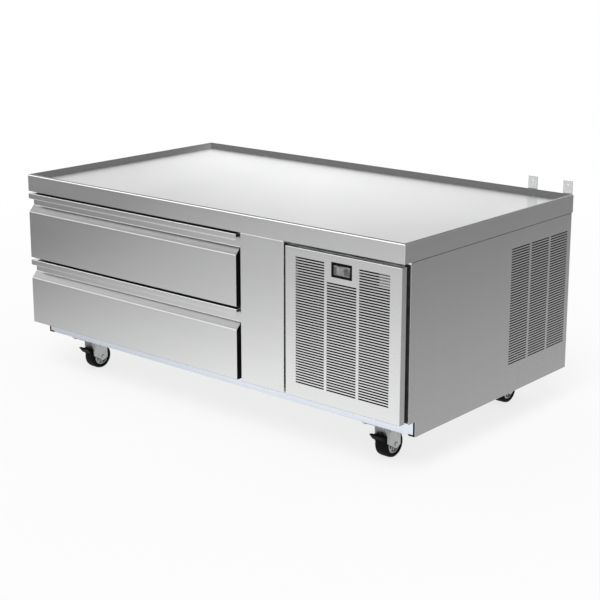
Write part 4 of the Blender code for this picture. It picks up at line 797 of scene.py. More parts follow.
def slotted_sheet(name, node, steel, openings, depth, fold_round):
    """A folded panel that stands for a node. Its face is a grid of quads that leaves out the openings, each
    (start, end, bottom, top). Its rim folds back by the depth, a vector along the face's normal"""
    low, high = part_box(node)
    normal = 0 if depth.x else 1
    at = low[normal] if depth[normal] > 0 else high[normal]
    box = (low[1 - normal], high[1 - normal], low.z, high.z)
    acrosses = sorted({each for opening in (box, *openings) for each in opening[:2]})
    ups = sorted({each for opening in (box, *openings) for each in opening[2:]})
    bm = bmesh.new()
    grid = [[bm.verts.new((at, across, up) if normal == 0 else (across, at, up)) for up in ups]
            for across in acrosses]
    for i, (left, right) in enumerate(zip(acrosses, acrosses[1:])):
        for j, (bottom, top) in enumerate(zip(ups, ups[1:])):
            across, up = (left + right) / 2, (bottom + top) / 2
            if not any(start < across < end and foot < up < head for start, end, foot, head in openings):
                bm.faces.new((grid[i][j], grid[i + 1][j], grid[i + 1][j + 1], grid[i][j + 1]))
    bmesh.ops.delete(bm, geom=[vert for vert in bm.verts if not vert.link_faces], context="VERTS")
    sides = [(1 - normal, edge) for edge in box[:2]] + [(2, edge) for edge in box[2:]]
    rims = [edge for edge in bm.edges if len(edge.link_faces) == 1 and
            any(all(abs(vert.co[axis] - side) < WELD for vert in edge.verts) for axis, side in sides)]
    ends = bmesh.ops.extrude_edge_only(bm, edges=rims)["geom"]
    bmesh.ops.translate(bm, verts=[each for each in ends if isinstance(each, bmesh.types.BMVert)], vec=depth)
    folds = rims + standing_folds(rims)
    sheet = bpy.context.scene.chef_base_sizes.sheet
    stand_in(folded_sheet(name, bm, steel, sheet, folds, fold_round, -depth), node)


def standing_folds(folds):
    """The corner edges of a folded pan's rim, which are rounded with its folds"""
    found = []
    for vert in {vert for edge in folds for vert in edge.verts}:
        for edge in vert.link_edges:
            if edge in folds or len(edge.link_faces) != 2:
                continue
            first, second = edge.link_faces
            if first.normal.length and second.normal.length and first.normal.angle(second.normal, 0) > 0.5:
                found.append(edge)
    return found


def slot_rows(spans, first_row, pitch, rows, opening):
    """Openings in rows from the first one down, across each of the spans"""
    heights = [first_row - row * pitch for row in range(rows)]
    return [(*span, z - opening / 2, z + opening / 2) for z in heights for span in spans]


# Operators


def bare_tree(data):
    """The emptied node tree of a world or a material"""
    data.use_nodes = True
    data.node_tree.nodes.clear()
    return Wiring(data.node_tree)


class CHEFBASE_OT_stage(bpy.types.Operator):
    """Sets up the camera, the lamps, the floor and the plain studio surroundings"""

    bl_idname = "chefbase.stage"
    bl_label = "Stage"

    def execute(self, context):
        stage = context.scene.chef_base_stage
        camera = linked("photo_camera", bpy.data.cameras.new("photo_camera"))
        camera.data.lens, camera.data.sensor_width, camera.data.shift_y = stage.lens, 36.0, stage.shift
        camera.location = stage.camera_place
        camera.rotation_euler = (math.pi / 2 - stage.camera_pitch, 0, stage.camera_turn)
        context.scene.camera = camera
        context.scene.view_settings.view_transform = "Standard"
        self.add_world(context.scene, stage)
        self.add_floor(stage)
        self.add_key(stage)
        self.add_card("front_floor_card", (-3.4, -5.0, 0.004), (9.4, 9.2), self.front_tone)
        self.add_card("side_floor_card", (3.8, 2.4, 0.004), (6.1, 7.0), self.side_tone)
        self.add_card("ceiling_card", (-0.6, 0.95, 2.6), (7.2, 5.7), self.ceiling_tone)
        self.add_card("back_bright_card", (-1.325, 1.2, 0.97), (3.35, 0.74), self.back_tone, "Y")
        # Dull behind the right side, so that the rim shows no bright line there
        self.add_card("right_dark_card", (3.6, 3.9, 1.35), (4.8, 2.7), 0.30, "Y")
        self.add_card("front_bright_card", (-3.2, -3.4, 2.8), (5.6, 3.6), stage.front_glow, "Y")
        return {"FINISHED"}

    def backdrop_rays(self, wiring):
        """1 for the rays that show the plain white surroundings: camera, glossy and transmission"""
        path = wiring.add("ShaderNodeLightPath").outputs
        seen = wiring.math("MAXIMUM", path["Is Camera Ray"], path["Is Glossy Ray"])
        return wiring.math("MAXIMUM", seen, path["Is Transmission Ray"])

    def add_world(self, scene, stage):
        scene.world = bpy.data.worlds.new("studio")
        wiring = bare_tree(scene.world)
        light, white = (wiring.out("ShaderNodeBackground", 0, {"Color": WHITE, "Strength": strength})
                        for strength in (stage.ambient, 1.0))
        chosen = wiring.out("ShaderNodeMixShader", 0, {0: self.backdrop_rays(wiring), 1: light, 2: white})
        wiring.add("ShaderNodeOutputWorld", {"Surface": chosen})

    def add_floor(self, stage):
        """A matt floor that fades into the backdrop away from the object"""
        bm = bmesh.new()
        bmesh.ops.create_circle(bm, cap_ends=True, segments=64, radius=14.0)
        material = bpy.data.materials.new("studio_floor")
        floor = make_object("studio_floor", bm, material)
        wiring = bare_tree(material)
        matt = wiring.out("ShaderNodeBsdfDiffuse", 0, {"Color": (*stage.floor_tone, 1)})
        white = wiring.out("ShaderNodeEmission", 0, {"Color": WHITE, "Strength": 1.0})
        place = wiring.out("ShaderNodeTexCoord", "Object")
        radius = wiring.out("ShaderNodeVectorMath", "Value", {0: place}, operation="LENGTH")
        share = wiring.graded(radius, 1.2, 3.4, stage.floor_lift, 1.0)
        shown = wiring.math("MULTIPLY", self.backdrop_rays(wiring), share)
        chosen = wiring.out("ShaderNodeMixShader", 0, {0: shown, 1: matt, 2: white})
        wiring.add("ShaderNodeOutputMaterial", {"Surface": chosen})

    def add_key(self, stage):
        """A soft key light from the front right, so that the shadow falls behind the object"""
        light = bpy.data.lights.new("key_light", "SUN")
        lamp = linked("key_light", light)
        towards = Vector((0.35, -0.75, 1.15)).normalized()
        light.angle, light.energy = stage.key_softness, stage.key * math.pi / towards.z
        lamp.rotation_euler = towards.to_track_quat("Z", "Y").to_euler()
        lamp.visible_glossy = False

    def front_tone(self, wiring, axes, stage):
        """Bright beside the drawers, and darker away from them and to the left"""
        away = wiring.graded(axes["Y"], -2.3, -0.7, 0.0, 1.0)
        left = wiring.graded(axes["X"], -2.15, -1.65, 0.26, 0.63)
        near = wiring.graded(axes["X"], -1.9, -0.1, 0.17, 1.12)
        floor = wiring.out("ShaderNodeMix", "Result", {"Factor": away, "A": left, "B": near})
        return wiring.math("MULTIPLY", floor, wiring.graded(axes["Y"], -0.55, -0.48, 1.0, 0.06))

    def side_tone(self, wiring, axes, stage):
        """Mid grey beside the right panel, a little darker away from it"""
        return wiring.graded(axes["X"], 0.9, 2.2, 0.47, 0.26)

    def ceiling_tone(self, wiring, axes, stage):
        """Dark above the rims, and brighter in front, where the drawers' slanted grips see it"""
        return wiring.graded(axes["Y"], -1.15, -0.80, 0.56, stage.ceiling_tone)

    def back_tone(self, wiring, axes, stage):
        """Brightest low down behind the deck's middle, and fading upwards and to both sides"""
        glow = wiring.graded(axes["Z"], 0.85, 1.20, stage.back_glow, 0.89)
        for span in ((-2.0, -1.4, 0.93, 1.0), (-0.9, -0.1, 1.0, 0.80)):
            glow = wiring.math("MULTIPLY", glow, wiring.graded(axes["X"], *span))
        return glow

    def add_card(self, name, middle, size, tone, facing="Z"):
        """A card beside the object, level or upright, which only reflections see. tone is its brightness,
        or the method that wires it up"""
        bm = bmesh.new()
        bmesh.ops.create_grid(bm, x_segments=1, y_segments=1, size=0.5,
                              matrix=Matrix.Translation(middle) @ turned_from_z(facing) @
                              Matrix.Diagonal((*size, 1, 1)))
        material = bpy.data.materials.new(name)
        card = make_object(name, bm, material)
        wiring = bare_tree(material)
        axes = wiring.add("ShaderNodeSeparateXYZ", {"Vector": wiring.out("ShaderNodeTexCoord", "Object")}).outputs
        strength = tone(wiring, axes, bpy.context.scene.chef_base_stage) if callable(tone) else tone
        glow = wiring.out("ShaderNodeEmission", 0, {"Color": WHITE, "Strength": strength})
        wiring.add("ShaderNodeOutputMaterial", {"Surface": glow})
        card.visible_camera = card.visible_diffuse = card.visible_shadow = card.visible_transmission = False


class CHEFBASE_OT_worktop(bpy.types.Operator):
    """Folds the worktop: deck, sloped raised rim with its narrow land, and the apron"""

    bl_idname = "chefbase.worktop"
    bl_label = "Worktop"

    def execute(self, context):
        sizes = context.scene.chef_base_sizes
        low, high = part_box("worktop")
        sheet, land, slope, ease = 0.002, 0.006, 0.014, 0.0012
        rim, foot, fillet = sizes.rim_round, sizes.edge_break, sizes.slope_round
        deck = high.z - 0.014
        turn = ease * math.sqrt(0.5)
        valley = (land + slope + fillet * math.tan(math.radians(22.5)), deck + fillet)
        outside = [(foot, low.z), (0, low.z + foot), *arc((rim, high.z - rim), rim, 180, 90, 5),
                   (land - ease, high.z), (land - ease / 3, high.z - ease / 8), (land + turn, high.z - turn),
                   *arc(valley, fillet, 225, 270, 5)]
        inside = [(land + slope + sheet, deck - sheet), (land, high.z - sheet - 0.0005),
                  (sheet, high.z - sheet - rim), (sheet, low.z + foot), (sheet - foot, low.z)]
        with new_piece("worktop_pan", "worktop", finish("stainless", "X"), sharp_deg=50, replaces=True) as bm:
            add_frame(bm, "Z", low, high, inside + outside,
                      lambda inset: max(0.0004, sizes.corner_round - inset * 0.25))
        dressed("worktop_core", "plywood_core", finish("board"), sizes.edge_break)
        return {"FINISHED"}


class CHEFBASE_OT_drawer_fronts(bpy.types.Operator):
    """Shapes both drawer fronts: rolled lip, pull recess, slanted grip and rounded foot"""

    bl_idname = "chefbase.drawer_fronts"
    bl_label = "Drawer fronts"

    def outline(self, low, high, top, levels, roll):
        """Side outline as (y, z), from the back's foot round the front. The lip is one folded sheet, open below"""
        front, back, bottom = low.y, high.y, low.z
        lip_low, grip_top, grip_low = levels
        depth = back - RECESS_SKIN
        sheet, foot, edge, curl, bend = 0.0015, 0.002, 0.0009, 0.0045, 0.0016
        hem = front + curl + 0.001
        return [(back, bottom), (front + foot, bottom),
                *arc((front + foot, bottom + foot), foot, 270, 180, 5)[1:],
                (front, grip_low - edge), (front + edge * 0.12, grip_low - edge * 0.15),
                (front + edge * 0.7, grip_low + edge * 0.7),
                *arc((depth - bend, grip_top + bend * (math.sqrt(2) - 1)), bend, -45, 0, 4),
                (depth, top - sheet), (front + sheet, top - sheet),
                *arc((front + curl, lip_low + curl), curl - sheet, 180, 270, 5),
                (hem, lip_low + sheet), (hem, lip_low),
                *arc((front + curl, lip_low + curl), curl, 270, 180, 7),
                *arc((front + roll, top - roll), roll, 180, 90, 6), (back, top)]

    def execute(self, context):
        sizes = context.scene.chef_base_sizes
        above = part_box("worktop")[0].z
        for level in LEVELS:
            node = "drawer_front_" + level
            low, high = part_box(node)
            top = above - 0.0065
            above = low.z
            lip_low = top - 0.0185
            grip_top = lip_low - 0.021
            grip_low = grip_top - (high.y - RECESS_SKIN - low.y)
            outline = self.outline(low, high, top, (lip_low, grip_top, grip_low), sizes.lip_round)
            with new_piece("drawer_face_" + level, node, finish("stainless", "X"), sizes.edge_break, 2, 28,
                           replaces=True) as bm:
                add_drawn(bm, "X", low.x, high.x, outline)
            self.add_trim(level, low, high, top, lip_low, grip_top, grip_low, sizes.lip_round)
        return {"FINISHED"}

    def add_trim(self, level, low, high, top, lip_low, grip_top, grip_low, roll):
        """Painted shade: black end caps for the side gaps, a black top strip for the gap above, a black filler in the
        lip
        """
        margin = 0.0007
        front, back, foot = low.y + margin, high.y - margin, low.z + margin
        cap = rounded_outline([(front, foot, 0.0015), (back, foot, 0.0005), (back, grip_top - margin, 0.0003),
                               (high.y - 0.0022, grip_top - margin, 0.0003), (front, grip_low - margin, 0.001)], 3)
        strip = rounded_rectangle((low.x + 0.024, low.y + roll + 0.0015), (high.x - 0.003, high.y - 0.0005), 0.002, 3)
        with new_piece("drawer_edge_trim_" + level, "drawer_front_" + level, finish("plastic"), 0.0002, 1,
                       slot="black_plastic") as bm:
            # Painted shade: black end caps that darken the gaps beside the drawer
            for at in (low.x - 0.0003, high.x - 0.0005):
                add_drawn(bm, "X", at, at + 0.0008, cap)
            # Painted shade: a black strip on top that darkens the gap above the lip
            add_drawn(bm, "Z", top - 0.0003, top + 0.0004, strip)
            # Painted shade: a black filler inside the lip's fold, which the grip reflects as a dark band
            add_slab(bm, (low.x + 0.003, low.y + 0.0019, lip_low + 0.0035),
                     (high.x - 0.016, high.y - 0.0016, top - 0.0019))


class CHEFBASE_OT_gaskets(bpy.types.Operator):
    """Moulds the drawer gaskets: a soft balloon with a dart behind it, mitred at the corners"""

    bl_idname = "chefbase.gaskets"
    bl_label = "Gaskets"

    def execute(self, context):
        width = 0.012
        section = [(0.10, 0.0), (0.10, 0.22), (0.0, 0.34), (0.04, 0.48), (0.0, 0.62), (0.05, 0.86), (0.22, 1.0),
                   (0.78, 1.0), (0.95, 0.86), (1.0, 0.62), (0.96, 0.48), (1.0, 0.34), (0.90, 0.22), (0.90, 0.0)]
        for level in LEVELS:
            node = "drawer_gasket_" + level
            low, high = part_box(node)
            placed = [(across * width, low.y + deep * (high.y - low.y)) for across, deep in section]
            with new_piece("magnetic_gasket_" + level, node, finish("vinyl"), sharp_deg=60, replaces=True) as bm:
                add_frame(bm, "Y", low, high, placed, lambda inset: 0.0025, closed=True)
        return {"FINISHED"}


class CHEFBASE_OT_fascia(bpy.types.Operator):
    """Folds the mullion cover and the louvred service panel with its hooks"""

    bl_idname = "chefbase.fascia"
    bl_label = "Fascia"

    def execute(self, context):
        sizes = context.scene.chef_base_sizes
        steel = finish("stainless", "X")
        low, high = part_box("mullion_panel")
        slotted_sheet("mullion_cover", "mullion_panel", steel, [], Vector((0, high.y - low.y, 0)), sizes.fold_round)
        low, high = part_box("service_panel")
        back = 0.019
        slotted_sheet("louvred_service_panel", "service_panel", steel, self.openings(low, high, sizes),
                      Vector((0, back, 0)), sizes.fold_round)
        root = low.y + back - 0.008
        with new_piece("service_panel_hooks", "service_panel", steel, 0.0003) as bm:
            for side in (low.x + 0.012, high.x - sizes.sheet - 0.012):
                for bottom in (low.z + 0.060, high.z - 0.090):
                    hook = rounded_outline([(root, bottom, 0), (high.y, bottom + 0.004, 0.002),
                                            (high.y, bottom + 0.026, 0.002), (root, bottom + 0.030, 0)])
                    add_drawn(bm, "X", side, side + sizes.sheet, hook)
        side_low, side_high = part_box("right_side_panel")
        # Painted shade: a thin black strip on the right side panel's front edge darkens the gap beside the service
        # panel
        add_slab_piece("service_panel_side_seal", "right_side_panel", finish("vinyl"), "black_plastic",
                       (side_low.x + 0.0015, side_low.y - 0.0008, low.z),
                       (side_high.x - 0.0022, side_low.y + 0.0002, high.z + 0.004), 0.0002, 1)
        return {"FINISHED"}

    def openings(self, low, high, sizes):
        """Three columns of slots. The middle one starts lower, where the display has its own opening"""
        column = (high.x - low.x) * COLUMN_SHARE
        half = column * SLOT_WIDTH_SHARE / 2
        middle = (low.x + high.x) / 2
        spans = [(middle + i * column - half, middle + i * column + half) for i in (-1, 0, 1)]
        pitch = (high.z - low.z) * PITCH_SHARE
        first_row, rows, lost, room = high.z - 0.0258, 48, 7, 0.0003
        slots = slot_rows(spans, first_row, pitch, rows, pitch * sizes.slot_share)
        slots = [slot for i, slot in enumerate(slots) if i % 3 != 1 or i // 3 >= lost]
        window_low, window_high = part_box("display_bezel")
        return [*slots, (window_low.x - room, window_high.x + room, window_low.z - room, window_high.z + 0.0033)]


class CHEFBASE_OT_display(bpy.types.Operator):
    """Fits the temperature display: its black surround, window, key strip and keys"""

    bl_idname = "chefbase.display"
    bl_label = "Display"

    def execute(self, context):
        low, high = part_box("display_bezel")
        high.z += 0.003
        window_low, window_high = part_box("thermostat")
        radius, slope, lip = 0.0022, 0.0012, 0.0004
        front, face = low.y - 0.0008, window_low.y
        border = window_low.x - low.x + 0.0016
        section = [(0.0, high.y), (0.0, front + slope), (0.0004, front + 0.0004), (slope, front),
                   (border - slope, front), (border - 0.0003, front + 0.0006), (border - 0.0002, high.y)]
        with new_piece("display_surround", "display_bezel", finish("plastic"), sharp_deg=45, replaces=True) as bm:
            add_frame(bm, "Y", low, high, section, lambda inset: max(0.0006, radius - inset * 0.3), 5, closed=True)
        with new_piece("display_module", "thermostat", finish("window", 1.0), sharp_deg=45, replaces=True) as bm:
            add_frame(bm, "Y", window_low, window_high, [(lip, face), (0, face + lip), (0, window_high.y)],
                      lambda inset: 0.0005 if inset else 0.0006, 2)
        width, height = window_high.x - window_low.x, window_high.z - window_low.z
        with new_piece("display_keys", "thermostat", finish("window", 0.42), 0.0002, slot="black_plastic") as bm:
            for start, end in ((0.03, 0.19), (0.62, 0.95)):
                strip = rounded_rectangle((window_low.x + width * start, window_low.z + 0.0035),
                                          (window_low.x + width * end, window_high.z - 0.0035), 0.0012, 3)
                add_drawn(bm, "Y", face - 0.0002, face + 0.0004, strip)
            for up in (0.28, 0.60):
                key = rounded_rectangle((window_low.x + width * 0.07, window_low.z + height * up),
                                        (window_low.x + width * 0.15, window_low.z + height * (up + 0.13)), 0.0008, 3)
                add_drawn(bm, "Y", face - 0.0007, face, key)
        return {"FINISHED"}


class CHEFBASE_OT_side_panels(bpy.types.Operator):
    """Folds both side panels, and presses the louvres into the right one"""

    bl_idname = "chefbase.side_panels"
    bl_label = "Side panels"

    def execute(self, context):
        sizes = context.scene.chef_base_sizes
        work_low, work_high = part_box("worktop")
        fascia_low, fascia_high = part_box("service_panel")
        pitch = (fascia_high.z - fascia_low.z) * PITCH_SHARE
        slot, column, rows, shadow_half = 0.0905, 0.1005, 46, 0.0014
        first_end = work_high.y - 0.023
        spans = [(first_end - i * column - slot, first_end - i * column) for i in range(3)]
        slots = slot_rows(spans, work_low.z - 0.052, pitch, rows, pitch * sizes.slot_share * 0.82)
        for side, inward, openings in (("left", 1, []), ("right", -1, slots)):
            node = side + "_side_panel"
            low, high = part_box(node)
            notch = (low.y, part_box("front_rail")[0].y, low.z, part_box("face_frame")[0].z)
            slotted_sheet(side + "_side_sheet", node, finish("stainless", "Z"), [notch, *openings],
                          Vector((inward * (high.x - low.x), 0, 0)), sizes.fold_round * 0.6)
            at = low.x if inward > 0 else high.x
            # Painted shadow: a thin black strip along the panel's top, just under the worktop, stands in for the
            # shadow line there
            add_slab_piece(side + "_seam_sealant", node, finish("vinyl"), "black_plastic",
                           (at - shadow_half, low.y + 0.004, work_low.z - 0.0019),
                           (at + shadow_half, high.y - 0.004, work_low.z + 0.0010), 0.0004)
        return {"FINISHED"}


class CHEFBASE_OT_cabinet(bpy.types.Operator):
    """Finishes the face frame, the liner, the foam, the back, the base, the rail and their fasteners"""

    bl_idname = "chefbase.cabinet"
    bl_label = "Cabinet"

    def execute(self, context):
        sizes = context.scene.chef_base_sizes
        cut = sizes.edge_break * 0.6
        steel, black, galvanised = finish("stainless", "X"), finish("enamel"), finish("galvanised")
        dressed("face_frame", "face_frame_sheet", steel, cut)
        low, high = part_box("face_frame")
        rail_low, rail_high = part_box("front_rail")
        add_slab_piece("face_frame_bottom_fold", "face_frame", steel, None, (low.x, low.y + 0.0003, low.z - 0.0010),
                       (high.x, rail_low.y - 0.0002, low.z), 0.0003)
        dressed("liner", "cold_room_liner", finish("stainless", "Y"), cut)
        dressed("foam_body", "foam_insulation", finish("foam"), sizes.edge_break * 2)
        dressed("back_panel", "back_sheet", galvanised, cut)
        foam_low, foam_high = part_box("foam_body")
        # A skin over the foam's side, in black enamel: painted shade that darkens the view through the louvres
        add_slab_piece("partition_skin", "foam_body", black, "galvanised_sheet",
                       (foam_high.x, rail_high.y + 0.002, foam_low.z + 0.002),
                       (foam_high.x + 0.0006, foam_high.y - 0.002, foam_high.z - 0.002))
        back_low, back_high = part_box("back_panel")
        # Painted shade: a black sheet inside the back of the machine bay darkens the view through the louvres
        add_slab_piece("machine_bay_lining", "back_panel", black, "black_plastic",
                       (foam_high.x + 0.002, back_low.y - 0.0014, foam_low.z + 0.004),
                       (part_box("right_side_panel")[0].x - 0.001, back_low.y - 0.0002, foam_high.z - 0.004))
        dressed("base_pan", "base_sheet", galvanised, cut)
        self.add_rail()
        dressed("junction_box", "terminal_box", finish("white"), 0.0022, 3)
        self.add_fasteners(back_low, back_high)
        self.add_gland()
        return {"FINISHED"}

    def add_fasteners(self, back_low, back_high):
        """Screws round the back sheet and on the terminal box, rivets along the base sheet"""
        inset, top_inset, margin = 0.012, 0.060, 0.05
        places = []
        for i in range(8):
            x = back_low.x + margin + (back_high.x - back_low.x - 2 * margin) * i / 7
            places += [(x, back_high.y, back_low.z + inset), (x, back_high.y, back_high.z - top_inset)]
        for i in range(1, 4):
            z = back_low.z + (back_high.z - back_low.z - top_inset) * i / 4
            places += [(back_low.x + inset, back_high.y, z), (back_high.x - inset, back_high.y, z)]
        fastened("back_sheet_screws", "screw", "Y", places, "back_panel")
        low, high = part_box("base_pan")
        places = []
        for i in range(10):
            x = low.x + 0.04 + (high.x - low.x - 0.08) * i / 9
            places += [(x, low.y + inset, low.z), (x, high.y - inset, low.z)]
        fastened("base_sheet_rivets", "rivet", "-Z", places, "base_pan")
        low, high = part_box("junction_box")
        places = [(x, y, low.z) for x in (low.x + 0.006, high.x - 0.006) for y in (low.y + 0.006, high.y - 0.006)]
        fastened("terminal_box_screws", "screw", "-Z", places, "junction_box", size=0.0028)

    def add_rail(self):
        """The rail, folded over at its top, and black pieces at its lower corners that paint the shade of the side
        panels' edges
        """
        low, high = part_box("front_rail")
        sheet, bend = 0.0015, 0.002
        outline = rounded_outline([(low.y, low.z, 0), (low.y, high.z, bend + sheet), (high.y, high.z, 0),
                                   (high.y, high.z - sheet, 0), (low.y + sheet, high.z - sheet, bend),
                                   (low.y + sheet, low.z, 0)])
        with new_piece("filmed_front_rail", "front_rail", finish("rail"), 0.0003, replaces=True) as bm:
            add_drawn(bm, "X", low.x, high.x, outline)
        top, foot, step = high.z - 0.001, low.z - 0.0006, low.z + 0.0034
        # Painted shade: black L-shapes at both ends of the rail, where the side panels' edges lie in shadow
        with new_piece("front_rail_corners", "front_rail", finish("plastic"), 0.0002, 1, slot="black_plastic") as bm:
            for at, inward in ((low.x, 1), (high.x, -1)):
                long, short = at + inward * 0.019, at + inward * 0.0046
                corner = [(at, top), (at, foot), (long, foot), (long, step), (short, step), (short, top)]
                add_drawn(bm, "Y", low.y - 0.0010, low.y + 0.0002, corner[::inward])

    def add_gland(self):
        """The cord's bush: a flange outside the back sheet and a grooved barrel behind it"""
        low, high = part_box("cord_gland")
        centre = (low + high) / 2
        flange = (high.x - low.x) / 2
        bore, barrel, plate = 0.005, 0.0128, 0.0015
        end = low.y - high.y + plate
        profile = [(bore, end), (bore, plate - 0.001), (bore + 0.001, plate), (barrel, plate + 0.0003),
                   (flange - 0.002, plate), (flange, plate * 0.4), (flange, 0.0), (barrel, 0.0), (barrel, -0.004),
                   (barrel - 0.001, -0.005), (barrel, -0.006), (barrel - 0.001, end + 0.001), (bore + 0.002, end)]
        with new_piece("cord_bush", "cord_gland", finish("plastic"), sharp_deg=40, replaces=True) as bm:
            add_turned(bm, "Y", (centre.x, high.y - plate, centre.z), profile, closed=True)


class CHEFBASE_OT_rear_tabs(bpy.types.Operator):
    """Bends the two rear tabs, with rounded tops, and rivets them to the cabinet"""

    bl_idname = "chefbase.rear_tabs"
    bl_label = "Rear tabs"

    def execute(self, context):
        for place in ("inner", "outer"):
            node = "rear_tab_" + place
            low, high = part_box(node)
            dressed(node, "rear_strap_" + place, finish("zinc"), 0.0005)
            places = [((low.x + high.x) / 2, high.y - 0.0023, low.z + rise) for rise in (0.016, 0.052)]
            fastened(f"rear_strap_rivets_{place}", "rivet", "Y", places, node)
        return {"FINISHED"}


class CHEFBASE_OT_drawer_frames(bpy.types.Operator):
    """Finishes the drawer frames, their slides and the racks, with their rivets"""

    bl_idname = "chefbase.drawer_frames"
    bl_label = "Drawer frames and slides"

    def execute(self, context):
        for side in SIDES:
            dressed("slide_rack_" + side, "slide_upright_" + side, finish("stainless", "Z"), 0.0004)
        for level in LEVELS:
            node = "drawer_frame_" + level
            dressed(node, "pan_frame_" + level, finish("stainless", "Y"), 0.0007)
            low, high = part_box(node)
            places = [(x, y, high.z) for x in (low.x + 0.028, high.x - 0.028)
                      for y in (low.y + 0.012, high.y - 0.007)]
            fastened("pan_frame_rivets_" + level, "rivet", "Z", places, node)
            for side in SIDES:
                for member in ("outer", "middle"):
                    ending = f"{member}_{level}_{side}"
                    dressed("slide_" + ending, "slide_channel_" + ending, finish("zinc"), 0.0003)
        return {"FINISHED"}


